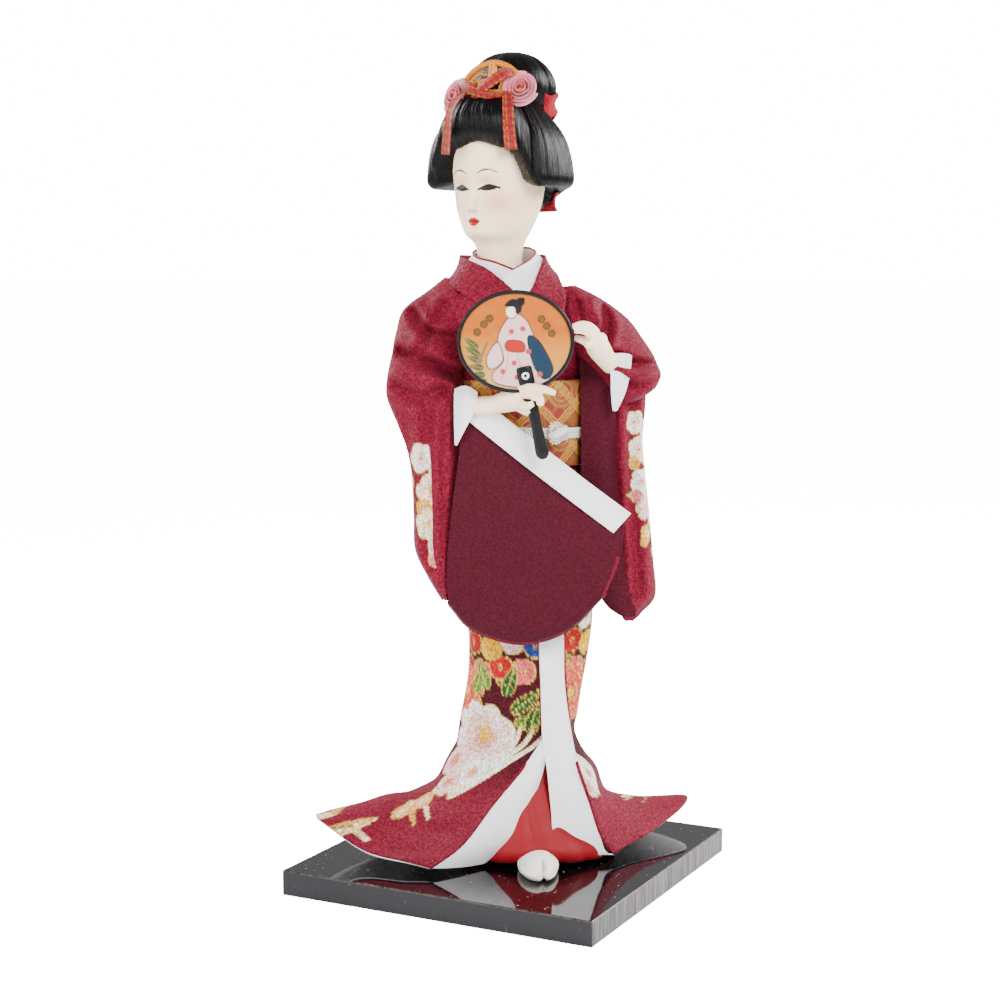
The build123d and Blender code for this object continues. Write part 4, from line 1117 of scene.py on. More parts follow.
PANEL_TOP = [(-17.2, -22.4, 181.0), (-7.0, -23.6, 172.4), (8.0, -25.4, 160.4), (24.0, -27.8, 148.4),
             (41.0, -30.0, 137.6)]
PANEL_UPPER = [(-18.8, -22.3, 162.0), (-8.0, -24.6, 154.0), (8.0, -26.8, 146.0), (24.0, -28.8, 138.0),
               (40.6, -30.0, 133.6)]
PANEL_MIDDLE = [(-21.4, -22.4, 140.0), (-10.0, -25.6, 132.0), (8.0, -28.0, 126.0), (23.0, -29.6, 122.0),
                (38.9, -29.8, 125.0)]
PANEL_LOW = [(-23.4, -22.2, 118.0), (-12.0, -25.0, 109.0), (6.0, -27.6, 104.0), (22.0, -29.2, 107.0),
             (35.6, -29.6, 116.2)]
PANEL_EDGE = [(-22.6, -22.6, 107.0), (-13.5, -24.0, 97.7), (4.0, -27.2, 93.4), (20.6, -28.9, 98.6),
              (33.0, -29.4, 111.2)]


def make_sleeve_linings():
    grid = net([PANEL_TOP, PANEL_UPPER, PANEL_MIDDLE, PANEL_LOW, PANEL_EDGE], 180, 150)
    u, v = arc_lengths(grid)
    inner = ease(np.minimum(v, v[-1:] - v), 0, 14)
    grid = folded(grid, 0.75, 63, 16, 24, hold=inner)
    end = v[-1:] - v
    roll = ease(-end, -2.4, 0)
    grid[..., 1] += roll * 2.0 - bump_at(end, 2.6, 1.4) * 0.5
    p = Painting(u, v, crepe_ground(u, v, 64, DARK_CREPE))
    right_edge = u[:, -1:] - u
    p.lay(np.maximum(ease(-end, -1.7, -1.2), ease(-right_edge, -1.7, -1.2) * (v > 12)), MAROON)
    # Painted shade: a dark line in the fold just inside the rolled edge.
    p.lay(bump_at(end, 2.1, 0.35) * 0.6, (0.03, 0.004, 0.01))
    lining = net_piece("right_sleeve_lining_cloth", grid, on_figure, paint=p.rgb, thick=0.6)
    settle(lining, "figure", crepe(0.4), ["right_sleeve_lining"])
    strip = [[(24.8, -11.0, 199), (31.0, -14.4, 199), (37.6, -15.4, 196)],
             [(25.4, -13.4, 183), (32.0, -14.8, 183), (37.6, -14.6, 183)],
             [(25.6, -14.4, 165), (34.0, -14.8, 165), (39.4, -11.4, 165)],
             [(26.0, -14.4, 140), (35.4, -14.6, 140), (40.6, -11.6, 140)],
             [(32.2, -12.0, 112), (39.0, -13.2, 108), (45.6, -11.4, 105)],
             [(36.0, -11.8, 104.6), (41.6, -12.2, 101.4), (46.0, -11.2, 101.4)]]
    grid = folded(net(strip, 70, 180), 0.4, 66, 9, 24)
    inner = net_piece("left_sleeve_lining_cloth", grid, on_figure, thick=0.5,
                      paint=crepe_ground(grid[..., 0], grid[..., 2], 67, DARK_CREPE))
    settle(inner, "figure", crepe(0.4), ["left_sleeve_lining"])


def make_sleeve_whites():
    """White band along the right sleeve's opening and the undersleeve at each wrist."""
    hem = band("right_sleeve_band_cloth",
               [(-16.0, -22.8, 186.6), (-8.0, -24.8, 180.6), (10.0, -27.6, 166.8), (28.0, -30.2, 153.0),
                (42.9, -31.4, 142.0)],
               [(-18.6, -22.4, 177.0), (-12.6, -24.8, 172.4), (5.0, -27.4, 158.6), (22.0, -30.0, 145.8),
                (36.6, -31.2, 134.9)], on_figure, 150, 26, 0.5, 0.7,
               plain_paint((150, 26), WHITE, 70))
    settle(hem, "figure", white_satin(), ["right_sleeve_band"])
    right = [[(-19.8, -21.8, 186.0), (-15.8, -25.2, 187.2), (-12.0, -26.2, 185.0)],
            [(-20.0, -22.4, 183.0), (-16.0, -26.4, 182.4), (-12.2, -27.2, 180.8)],
            [(-20.1, -22.8, 177.4), (-17.0, -25.6, 177.2), (-13.8, -26.4, 176.6)],
            [(-20.1, -23.2, 171.4), (-18.4, -24.6, 171.4), (-16.4, -25.2, 171.6)],
            [(-20.0, -23.6, 166.0), (-19.7, -23.9, 165.8), (-19.4, -24.2, 165.8)]]
    make_cuff("right", net(right, 70, 90), 71, 18)
    left = [[(35.6, -20.4, 198.4), (39.4, -20.6, 198.8), (43.2, -18.8, 198.2)],
            [(35.8, -21.4, 191.0), (39.2, -21.6, 191.0), (42.4, -19.8, 190.6)],
            [(36.0, -21.6, 184.2), (38.4, -21.8, 184.0), (40.8, -20.8, 184.0)],
            [(36.6, -20.4, 178.2), (37.4, -20.4, 178.0), (38.2, -20.0, 178.2)]]
    make_cuff("left", net(left, 60, 80), 73, 16)


def make_cuff(side, grid, seed, wave):
    """White undersleeve that shows at one wrist."""
    grid = folded(grid, 0.3, seed, 5, wave)
    white = net_piece(f"{side}_undersleeve_cloth", grid, on_figure, thick=0.6,
                      paint=plain_paint(grid.shape, WHITE, seed + 1))
    settle(white, "figure", white_satin(), [f"{side}_undersleeve"])


# ------------------------------------------------------------------ hands and fan
def skin_limb(name, cad, strands, blobs, seed):
    """Hand and forearm: tapering rods and pads fused into one skin and smoothed."""
    pieces = []
    for k, (points, radii) in enumerate(strands):
        pairs = through([(*p, r) for p, r in zip(points, radii)], 26)
        pieces.append(tube(f"{name}_{k}", pairs[:, :3], pairs[:, 3], on_figure, 16))
    for k, (centre, size, turn) in enumerate(blobs):
        bpy.ops.object.select_all(action="DESELECT")
        bpy.ops.mesh.primitive_uv_sphere_add(segments=24, ring_count=16, radius=1.0)
        blob = bpy.context.object
        points = np.array([tuple(v.co) for v in blob.data.vertices]) * size
        c, s = math.cos(turn), math.sin(turn)
        turned = np.stack([points[:, 0] * c - points[:, 2] * s, points[:, 1],
                           points[:, 0] * s + points[:, 2] * c], -1)
        blob.data.vertices.foreach_set("co", on_figure(turned + centre).astype(np.float32).ravel())
        pieces.append(blob)
    whole = joined(name, pieces)
    apply_modifier(whole, "REMESH", mode="VOXEL", voxel_size=0.00034)
    apply_modifier(whole, "SMOOTH", factor=0.5, iterations=5)
    place = np.array([tuple(v.co) for v in whole.data.vertices])
    blush = 0.5 + 0.5 * rumple(place[:, 0] * 260, place[:, 2] * 260, seed)
    rgb = np.asarray(SKIN) * (1 - 0.05 * blush[:, None] * np.array([0.2, 1.0, 1.0]))
    colour = whole.data.color_attributes.new(name="paint", type="FLOAT_COLOR", domain="POINT")
    rgba = np.concatenate([rgb, np.ones((len(rgb), 1))], 1)
    colour.data.foreach_set("color", rgba.astype(np.float32).ravel())
    settle(whole, "figure", gofun(), [cad])


def make_hands():
    right = [
        ([(-31, -7, 183), (-25, -9, 181.6), (-18.4, -16.5, 180.2), (-12, -25, 180.2), (-5.8, -28.4, 180.8)],
         [4.0, 3.7, 3.6, 3.4, 3.2]),
        ([(-6, -28.2, 180.8), (-1, -31.2, 182.2), (3.4, -33.8, 183.4)], [3.2, 3.9, 3.9]),
        ([(2.6, -34.4, 186.6), (7.0, -38.0, 187.2), (11.4, -39.0, 186.8), (15.6, -38.6, 185.4)],
         [2.1, 1.75, 1.5, 0.95]),
        ([(4.0, -35.0, 185.2), (8.0, -39.2, 184.9), (10.2, -40.4, 183.2), (10.0, -39.8, 181.4)],
         [1.9, 1.75, 1.55, 1.25]),
        ([(2.6, -35.4, 181.4), (5.4, -38.6, 181.0), (7.6, -40.0, 181.9)], [1.8, 1.5, 1.1]),
        ([(2.4, -33.0, 180.6), (5.6, -35.0, 178.8), (7.4, -36.6, 178.9)], [1.9, 1.6, 1.3]),
    ]
    skin_limb("right_forearm_skin", "right_forearm", right, [((2.0, -33.2, 184.2), (4.4, 2.8, 3.7), 0.2)], 1)
    left = [
        ([(45, -2, 190.4), (41.8, -7, 191.4), (38.0, -15.0, 193.4), (33.6, -24.0, 197.2)],
         [3.8, 3.8, 3.9, 3.6]),
        ([(33.8, -23.6, 197.0), (31.0, -28.4, 201.0), (28.4, -32.4, 204.8)], [3.6, 4.2, 3.3]),
        ([(29.4, -32.0, 206.4), (27.4, -36.0, 208.6), (24.6, -38.4, 209.4), (21.4, -39.0, 208.9)],
         [2.1, 1.7, 1.45, 0.95]),
        ([(28.8, -32.6, 204.6), (27.2, -36.6, 206.6), (24.8, -38.8, 207.5), (22.0, -39.2, 207.3)],
         [1.9, 1.6, 1.4, 0.95]),
        ([(28.2, -31.4, 202.4), (25.4, -33.0, 203.8), (22.2, -34.0, 204.8)], [1.8, 1.5, 1.0]),
        ([(29.0, -32.4, 202.2), (27.8, -35.6, 202.2), (26.0, -37.0, 202.4)], [1.7, 1.45, 1.05]),
    ]
    skin_limb("left_forearm_skin", "left_forearm", left, [((30.4, -29.4, 202.4), (3.4, 3.0, 4.6), -0.6)], 2)


FAN_AT = (1.5, -36.0, 203.5)
FAN_HALF = (19.6, 17.0)
FAN_RIM_OUT = 0.35
HANDLE_SET = math.radians(3.3)
HANDLE_FOOT = (11.0, 164.4)
EYELET_ALONG = 27.8


def in_fan_plane(x, z, depth):
    """Points of the fan's own plane, x and z in millimetres, in the figure's millimetres."""
    return np.stack([x, FAN_AT[1] + depth + 0 * z, z], -1)


def paint_fan(x, z):
    """A plain landscape: dusk sky over cream, a robed dancer, a pine and a few blossoms."""
    p = Painting(x, z, (0.50, 0.20, 0.025))
    p.lay(ease(z, 199, 208), (0.42, 0.095, 0.0))
    p.lay(bump_at(z, 203, 2.6) * 0.5, (0.50, 0.150, 0.002))
    p.lay(ease(-z, -197, -189) * 0.9, (0.52, 0.31, 0.13))
    p.lay(0.06 * rumple(x / 1.3, z / 1.3, 81), (0.6, 0.3, 0.1))
    for k in range(7):
        p.leaf(-11.5 + k * 0.6, 201 - k * 2.3, 7.0 - k * 0.5, 1.5, 2.5 + 0.15 * k, (0.035, 0.055, 0.015),
               (0.20, 0.15, 0.04))
    p.stroke([(-17, 193), (-12, 196), (-8.5, 203)], 1.0, (0.20, 0.10, 0.04))
    robe = [(1.5, 213), (5.0, 211), (7.5, 206), (9.5, 199), (13.5, 191), (10, 188.5), (3, 187.6),
            (-5, 189), (-6.4, 192), (-2.5, 197), (-4.6, 204), (-2.2, 210)]
    p.patch(robe, (0.66, 0.44, 0.40), (0.12, 0.03, 0.02))
    p.patch([(6, 205), (10, 203), (14.5, 194), (11.4, 190.6), (7.8, 196)], (0.004, 0.022, 0.045),
            (0.01, 0.01, 0.01))
    p.patch([(-4.8, 203), (-8.4, 198), (-7.4, 194), (-3.2, 197)], (0.66, 0.47, 0.44), (0.12, 0.03, 0.02))
    p.patch([(-1.2, 203.6), (3.8, 203.2), (4.2, 200.2), (-1.4, 200.6)], (0.38, 0.012, 0.006),
            (0.1, 0.05, 0.03))
    p.stroke([(2.0, 199), (4.0, 193), (8.0, 189)], 0.35, (0.45, 0.18, 0.14))
    p.stroke([(-1.0, 199), (-1.8, 194), (-3.8, 190)], 0.35, (0.45, 0.18, 0.14))
    for cx, cz in ((0, 207), (4, 208), (6, 200), (1, 196), (6, 193), (-3, 193), (10, 192), (2, 191)):
        p.bloom(cx, cz, 0.9, 5, (0.50, 0.02, 0.03), None, (0.4, 0.06, 0.06))
    p.patch([(-1.6, 215.2), (0.8, 215.6), (1.8, 213.6), (0.4, 211.8), (-1.6, 212.8)], (0.85, 0.72, 0.60),
            (0.2, 0.08, 0.05))
    p.patch([(-2.4, 216), (0.2, 218.4), (3.4, 217.2), (3.4, 214), (1.6, 213.4), (0.9, 215.6)], BLACK)
    p.patch([(2.0, 218.4), (4.4, 218.8), (4.6, 216.6), (2.8, 216)], BLACK)
    for cx, cz in ((12.4, 209), (14.2, 206.4), (10.6, 211.4), (-9.6, 209.6), (-12, 206.8), (-7.6, 211.6)):
        p.bloom(cx, cz, 1.3, 5, (0.12, 0.06, 0.015), None, (0.05, 0.025, 0.008))
    return p.rgb


def make_fan():
    """Printed leaf, black rim and black handle."""
    across, down = 230, 150
    turn = 2 * np.pi * np.arange(across) / across
    share = np.concatenate([[0.004], np.linspace(0.02, 1, down - 4), [1.0, 0.5, 0.004]])
    depth = np.concatenate([np.full(down - 3, -0.5), [0.5, 0.5, 0.5]])
    x = FAN_AT[0] + FAN_HALF[0] * share[:, None] * np.cos(turn)
    z = FAN_AT[2] + FAN_HALF[1] * share[:, None] * np.sin(turn)
    rgb = paint_fan(x, z)
    rgb[down - 2:] = (0.70, 0.50, 0.28)
    leaf = net_piece("fan_leaf_print", in_fan_plane(x, z, depth[:, None]), on_figure, closed=True,
                     capped=True, paint=rgb)
    settle(leaf, "fan", printed_film(), ["fan_leaf"], angle=40)
    black = hard_gloss("black fan lacquer", (0.004, 0.0038, 0.0045), 0.30, 0.0)
    ring = np.stack([FAN_AT[0] + (FAN_HALF[0] + FAN_RIM_OUT) * np.cos(turn), np.full(across, FAN_AT[1]),
                     FAN_AT[2] + (FAN_HALF[1] + FAN_RIM_OUT) * np.sin(turn)], -1)
    out = np.stack([np.cos(turn) * 0.9, np.zeros(across), np.sin(turn)], -1)
    out /= np.linalg.norm(out, axis=1, keepdims=True)
    section = [(-0.65, -1.0), (0.3, -1.1), (0.68, -0.7), (0.68, 0.7), (0.3, 1.1), (-0.65, 1.0), (-0.65, -1.0)]
    grid = np.array([ring + out * a + np.array([0, b, 0]) for a, b in section])
    rim = net_piece("fan_rim_edge", grid, on_figure, closed=True)
    settle(rim, "fan", black, ["fan_rim"], angle=35)
    c, s = math.cos(LEAN + HANDLE_SET), math.sin(LEAN + HANDLE_SET)
    rows = [(-2.4, 0.5, 0.9), (-2.1, 1.3, 1.3), (-1.0, 2.15, 1.4), (0.6, 2.4, 1.45), (6, 2.1, 1.4),
            (11, 1.95, 1.4), (18, 2.2, 1.4), (23, 2.4, 1.5), (24.6, 2.5, 1.6), (25.2, 2.8, 1.75),
            (29.4, 2.85, 1.75), (30.9, 2.4, 1.7), (31.1, 0.6, 1.4)]
    rings = []
    for along, half, deep in rows:
        ring = sleeve_ring(0, -half, half, -deep, deep, 24, 0.62)
        x = ring[:, 0] * c - along * s + HANDLE_FOOT[0]
        z = ring[:, 0] * s + along * c + HANDLE_FOOT[1]
        rings.append(np.stack([x, ring[:, 1] + FAN_AT[1], z], -1))
    handle = net_piece("fan_handle_stick", net(rings, 48, 110, closed=True), on_figure, closed=True,
                       capped=True)
    settle(handle, "fan", black, ["fan_handle"])


def make_eyelet():
    """White ring on the front of the handle's tang."""
    set_over = LEAN + HANDLE_SET
    at = Vector(on_figure([HANDLE_FOOT[0] - EYELET_ALONG * math.sin(set_over), FAN_AT[1],
                           HANDLE_FOOT[1] + EYELET_ALONG * math.cos(set_over)]))
    bpy.ops.object.select_all(action="DESELECT")
    bpy.ops.mesh.primitive_torus_add(major_radius=0.95 * MM, minor_radius=0.42 * MM,
                                     major_segments=36, minor_segments=14)
    eyelet = bpy.context.object
    bpy.ops.transform.rotate(value=math.pi / 2, orient_axis="X", center_override=(0, 0, 0))
    bpy.ops.transform.rotate(value=-TURN, orient_axis="Z", center_override=(0, 0, 0))
    away = Vector((-math.sin(TURN), math.cos(TURN), 0))
    bpy.ops.transform.translate(value=at - away * 1.75 * MM)
    bpy.ops.object.transform_apply()
    eyelet.name = "fan_eyelet_ring"
    settle(eyelet, "fan", hard_gloss("white eyelet", (0.80, 0.80, 0.78), 0.3, 0.0),
           ["fan_rivet"])


# ------------------------------------------------------------------ head
# Rows of height, half width, front depth, back depth.
HEAD_ROWS = [
    (219.0, 8.6, 8.4, 8.4), (226.0, 8.0, 8.4, 7.7), (232.0, 7.9, 8.9, 7.4), (236.4, 8.3, 9.6, 8.0),
    (238.6, 9.0, 11.4, 8.6), (239.7, 9.4, 13.8, 9.0), (240.6, 9.9, 15.6, 9.6), (242.0, 10.7, 16.7, 10.4),
    (244.5, 12.0, 17.2, 11.6), (248.0, 13.5, 17.4, 13.2), (252.0, 14.8, 17.6, 14.6),
    (256.0, 15.6, 17.7, 15.6), (260.0, 16.0, 18.2, 16.6), (265.0, 16.2, 18.8, 17.2),
    (270.0, 15.8, 18.7, 17.4), (275.0, 14.2, 17.4, 16.4), (280.0, 10.8, 13.6, 13.2),
    (283.4, 6.0, 7.6, 7.6), (284.6, 1.0, 1.4, 1.4),
]
FACE_TURN = math.radians(-7.0)


def face_relief(x, z, front):
    """How far the face stands out, in millimetres, by place across and up."""
    eye = bump_at(np.abs(x), 5.7, 3.4) * bump_at(z, 258.4, 2.5)
    lid = bump_at(np.abs(x), 5.7, 2.7) * bump_at(z, 257.7, 1.2)
    nose = bump_at(x, 0, 1.45) * (ease(z, 249.2, 250.9) * ease(-z, -262, -250.8) * 2.9)
    tip = bump_at(x, 0, 1.75) * bump_at(z, 250.7, 1.25) * 1.1
    wings = bump_at(np.abs(x), 1.9, 0.8) * bump_at(z, 249.9, 0.85) * 0.75
    upper = bump_at(x, 0, 2.1) * bump_at(z, 246.7, 0.62) * 0.75
    lower = bump_at(x, 0, 1.6) * bump_at(z, 245.0, 0.62) * 0.85
    parting = bump_at(x, 0, 2.2) * bump_at(z, 245.85, 0.25) * -0.45
    philtrum = bump_at(x, 0, 0.6) * bump_at(z, 248.1, 0.8) * -0.22
    chin = bump_at(x, 0, 3.2) * bump_at(z, 241.9, 1.7) * 1.0
    under_lip = bump_at(x, 0, 2.6) * bump_at(z, 243.7, 0.7) * -0.45
    cheek = bump_at(np.abs(x), 8.2, 3.8) * bump_at(z, 250.8, 4.2) * 0.75
    brow = bump_at(np.abs(x), 6.0, 4.4) * bump_at(z, 262.2, 2.4) * 0.35
    total = -1.15 * eye + 0.75 * lid + nose + tip + wings + upper + lower + parting + philtrum
    return (total + chin + under_lip + cheek + brow) * front


def paint_face(x, z, front):
    """Blush, almond eyes, arched brows, small red lips, painted shade beside and under the nose and under the
    lower lip, and the fine hairs at the brow line.
    """
    p = Painting(x, z, SKIN)
    pink = np.asarray((0.66, 0.20, 0.16))
    for cx, cz, wx, wz, share in ((8.6, 252.8, 4.0, 4.2, 0.62), (-9.4, 252.8, 3.6, 4.2, 0.50),
                                  (5.6, 260.6, 4.2, 2.0, 0.46), (-5.6, 260.6, 4.2, 2.0, 0.46),
                                  (0, 241.4, 2.6, 1.6, 0.12), (0, 250.0, 1.8, 1.2, 0.16)):
        p.lay(bump_at(x, cx, wx) * bump_at(z, cz, wz) * share, pink)
    # Painted shade: beside the nose, under the nose and under the lower lip.
    shade = np.asarray((0.50, 0.27, 0.17))
    p.lay(bump_at(x, 1.9, 0.9) * bump_at(z, 252.6, 3.6) * 0.34, shade)
    p.lay(bump_at(x, 0.4, 2.0) * bump_at(z, 249.2, 0.6) * 0.40, shade)
    p.lay(bump_at(x, 0.0, 2.2) * bump_at(z, 243.6, 0.5) * 0.25, shade)
    for s in (-1, 1):
        t = (s * x - 2.6) / 6.0
        inside = (t > 0) & (t < 1)
        top = 257.35 + 1.25 * np.sin(np.clip(t, 0, 1) ** 0.9 * 2.7) + 0.35 * t
        low = 257.1 - 0.55 * np.sin(np.clip(t, 0, 1) * 3.0) + 0.45 * t
        open_eye = inside * np.clip((top - z) / 0.15, 0, 1) * np.clip((z - low) / 0.15, 0, 1)
        p.lay(open_eye, (0.12, 0.075, 0.06))
        iris = np.hypot((s * x - 5.5) * 0.85, z - 257.75)
        p.lay(open_eye * np.clip((2.3 - iris) / 0.25, 0, 1), (0.004, 0.002, 0.0015))
        p.stroke([(s * 2.3, 257.2), (s * 3.8, 258.0), (s * 5.6, 258.75), (s * 7.4, 258.45),
                  (s * 9.4, 257.75)],
                 0.85, (0.003, 0.002, 0.002))
        p.stroke([(s * 3.6, 256.95), (s * 5.8, 256.85), (s * 8.2, 257.4)], 0.3, (0.02, 0.008, 0.006))
        p.stroke([(s * 3.0, 259.4), (s * 5.6, 260.1), (s * 8.4, 259.6)], 0.14, (0.50, 0.24, 0.18))
        p.stroke([(s * 2.4, 262.9), (s * 4.6, 264.1), (s * 7.0, 264.2), (s * 9.2, 263.2)], 0.42,
                 (0.035, 0.02, 0.016))
        p.stroke([(s * 3.6, 263.7), (s * 6.4, 264.2)], 0.5, (0.06, 0.035, 0.03))
        p.stroke([(s * 0.9, 249.5), (s * 1.7, 249.6)], 0.3, (0.36, 0.12, 0.08))
    lips = [(-2.5, 246.0), (-1.4, 246.9), (-0.55, 247.35), (0, 247.1), (0.55, 247.35), (1.4, 246.9),
            (2.5, 246.0), (1.5, 244.7), (0, 244.2), (-1.5, 244.7)]
    p.patch(lips, (0.34, 0.002, 0.004))
    p.stroke([(-2.3, 246.0), (-0.9, 245.9), (0, 245.7), (0.9, 245.9), (2.3, 246.0)], 0.16,
             (0.16, 0.004, 0.008))
    fringe = 272.2 + 2.0 * np.sqrt(np.clip(1 - (x / 15.5) ** 2, 0, 1)) - 8.5 * (np.abs(x) / 15.5) ** 3.2
    strands = 0.5 + 0.5 * rumple(x * 9.0, z * 0.8, 91, 8)
    p.lay(ease(z, fringe - 1.6 + strands * 1.8, fringe + 1.6 + strands) * front, (0.01, 0.008, 0.008))
    p.lay(ease(z - fringe, -3.2, 1.5) * 0.35 * front * strands, (0.12, 0.09, 0.08))
    p.rgb = p.rgb * front[..., None] + np.asarray(SKIN) * (1 - front[..., None])
    return p.rgb


def make_head():
    table = through(np.asarray(HEAD_ROWS, float), 900)
    heights = np.concatenate([np.linspace(219, 239, 34, endpoint=False),
                              np.linspace(239, 268, 172, endpoint=False), np.linspace(268, 284.6, 40)])
    w, f, b = (np.interp(heights, table[:, 0], table[:, k]) for k in (1, 2, 3))
    turn = np.concatenate([np.linspace(-170, -10, 250, endpoint=False),
                           np.linspace(-10, 190, 60, endpoint=False)])
    a = np.radians(turn)
    c, s = np.cos(a)[None, :], np.sin(a)[None, :]
    cx = np.sign(c) * np.abs(c) ** 0.94
    x = w[:, None] * cx
    y = np.where(s < 0, f[:, None], b[:, None]) * np.sign(s) * np.abs(s) ** 0.94
    z = np.broadcast_to(heights[:, None], x.shape).copy()
    front = ease(-s, 0.1, 0.45) * ease(z, 238.5, 241.0)
    y = y - face_relief(x, z, front)
    ear = bump_at(z, 253.6, 3.4) * bump_at(y, 1.2, 1.7) * (np.abs(c) > 0.7)
    rim_of_ear = ear * (1 - 0.45 * bump_at(z, 254.2, 1.8) * bump_at(y, 1.0, 0.9))
    x = x + np.sign(x) * rim_of_ear * 2.3
    rgb = paint_face(x, z, ease(-s, 0.02, 0.12) * (z > 239) * np.ones_like(x))
    rgb = rgb * (1 - 0.10 * ear[..., None] * np.array([0.1, 1.0, 1.0]))
    ct, st = math.cos(FACE_TURN), math.sin(FACE_TURN)
    grid = np.stack([x * ct - y * st, x * st + y * ct, z], -1)
    head = net_piece("head_and_neck", grid, on_head, closed=True, capped=True, paint=rgb)
    settle(head, "head", gofun(), ["head_shell"])


# Profiles of the combed hair as radius and height, from the brow line over the top to the bun.
HAIR_PROFILES = {
    -90: [(18.3, 274.2), (20.4, 274.6), (23.2, 278.4), (22.8, 284.8), (18.0, 290.2), (10.5, 292.0),
          (4, 291.6)],
    -60: [(18.2, 272.2), (20.6, 272.0), (24.4, 276.0), (24.0, 283.4), (18.6, 289.8), (10.5, 291.8),
          (4, 291.4)],
    -30: [(17.4, 259.6), (22.0, 258.4), (26.4, 258.6), (27.4, 263.4), (24.6, 276.5), (14.0, 288.6),
          (5, 290.8)],
    0: [(16.2, 258.8), (21.6, 258.3), (26.8, 258.5), (27.8, 263.2), (24.2, 276.5), (13.5, 288.2), (5, 290.8)],
    30: [(16.2, 258.0), (20.6, 257.6), (24.6, 258.6), (25.6, 264.6), (22.2, 277.0), (13.2, 287.8),
         (5, 290.8)],
    60: [(14.6, 252.0), (17.0, 251.0), (19.8, 254.6), (22.4, 264.4), (21.0, 277.0), (13.0, 287.0),
         (5, 290.4)],
    90: [(13.8, 250.0), (16.4, 249.0), (19.0, 253.0), (22.0, 264.0), (20.5, 277.0), (13.0, 286.8),
         (5, 290.4)],
}


def hair_profile(angle):
    """Profile at any angle round the head, blended between the drawn ones."""
    a = (angle + 90.0) % 360.0
    a = a if a <= 180 else 360 - a
    stops = np.array(sorted(HAIR_PROFILES)) + 90.0
    table = np.array([HAIR_PROFILES[int(s - 90)] for s in stops], float)
    k = int(np.clip(np.searchsorted(stops, a) - 1, 0, len(stops) - 2))
    f = (a - stops[k]) / (stops[k + 1] - stops[k])
    f = f * f * (3 - 2 * f)
    return table[k] * (1 - f) + table[k + 1] * f


def hair_section(name, cad, start, stop, across):
    """One combed section of the wig, rounded off where it meets its neighbours."""
    angles = np.linspace(start, stop, across)
    profiles = np.array([through(hair_profile(a), 84) for a in angles])
    share = np.linspace(0, 1, across)
    near_edge = np.minimum(share, 1 - share) * abs(stop - start)
    tuck = 1.5 * (1 - ease(near_edge, 0, 7.0) ** 0.5)
    along = np.linspace(0, 1, 84)
    fade = ease(-along, -0.97, -0.75)
    rng = np.random.default_rng(int(abs(start)) + 3)
    lock = np.zeros(across)
    for wave in (9, 17, 31, 53):
        lock += np.sin(share * wave * abs(stop - start) / 14 + rng.uniform(0, 6)) / wave * 3.2
    radius = profiles[..., 0] - (tuck[:, None] * fade) + 0.22 * lock[:, None] * fade
    a = np.radians(angles)[:, None]
    grid = np.stack([radius * np.cos(a), radius * np.sin(a) + 1.2 * fade, profiles[..., 1]
                     + 0.18 * lock[:, None] * fade], -1).transpose(1, 0, 2)
    piece = net_piece(name, grid, on_head, thick=1.3)
    settle(piece, "head", hair_strands(2400.0, 45.0), [cad])


def make_hair():
    hair_section("front_hair_roll", "front_hair", -143, -37, 210)
    hair_section("left_side_wing", "left_side_hair", -38, 52, 180)
    hair_section("right_side_wing", "right_side_hair", 128, 218, 180)
    hair_section("back_hair_fall", "back_hair", 51, 129, 160)
    rows = [(284.5, 11.5, 12.6, 9.4), (288.0, 10.0, 15.4, 12.0), (292.4, 9.0, 16.9, 13.4),
            (297.0, 8.6, 16.8, 13.9), (301.5, 8.5, 14.4, 12.4), (305.2, 8.5, 10.4, 9.2),
            (307.2, 8.5, 6.0, 5.4), (307.9, 8.5, 1.2, 1.1)]
    grid = net([oval_row(0, y, z, rx, ry) for z, y, rx, ry in rows], 300, 130, closed=True)
    turn = np.linspace(0, 2 * np.pi, 300, endpoint=False)
    lock = sum(np.sin(turn * k + k) / k for k in (7, 13, 24, 41)) * 1.3
    groove = bump_at(np.cos(turn), 0.15, 0.05) * 0.6
    grid = grid + net_normals(grid, True) * (0.32 * lock - groove)[None, :, None]
    top = net_piece("bun_hair", grid, on_head, closed=True, capped=True)
    settle(top, "head", hair_strands(2400.0, 45.0), ["bun"])


def rose_petals():
    """Ribbon rose: petals wound outwards from a tight heart, modelled once at its own centre."""
    pieces = []
    petals = 13
    for k in range(petals):
        share = k / (petals - 1)
        radius = 0.9 + 5.5 * share ** 0.9
        start = k * 2.4
        sweep = 2.9 - 0.05 * k
        t = np.linspace(0, 1, 26)[None, :]
        h = np.linspace(0, 1, 12)[:, None]
        angle = start + sweep * t
        arch = np.sin(np.pi * t) ** 0.45
        r = radius * (0.62 + 0.38 * h) + 0.55 * np.sin(np.pi * h) * arch + 0.55 * h**3 * share
        lift = (3.4 - 2.2 * share ** 1.4) * h * (0.45 + 0.55 * arch) - 0.35 * h**3 * arch
        grid = np.stack([r * np.cos(angle), r * np.sin(angle), lift + 0 * r], -1)
        tone = np.asarray(PINK) * (1 - 0.35 * share) + np.asarray(PALE_PINK) * 0.42 * share
        tone = tone * (0.70 + 0.42 * h[..., None] * np.ones_like(r)[..., None])
        pieces.append(net_piece(f"petal_{k}", grid, lambda p: p * MM, paint=tone, thick=0.22))
    return joined("rose_model", pieces)


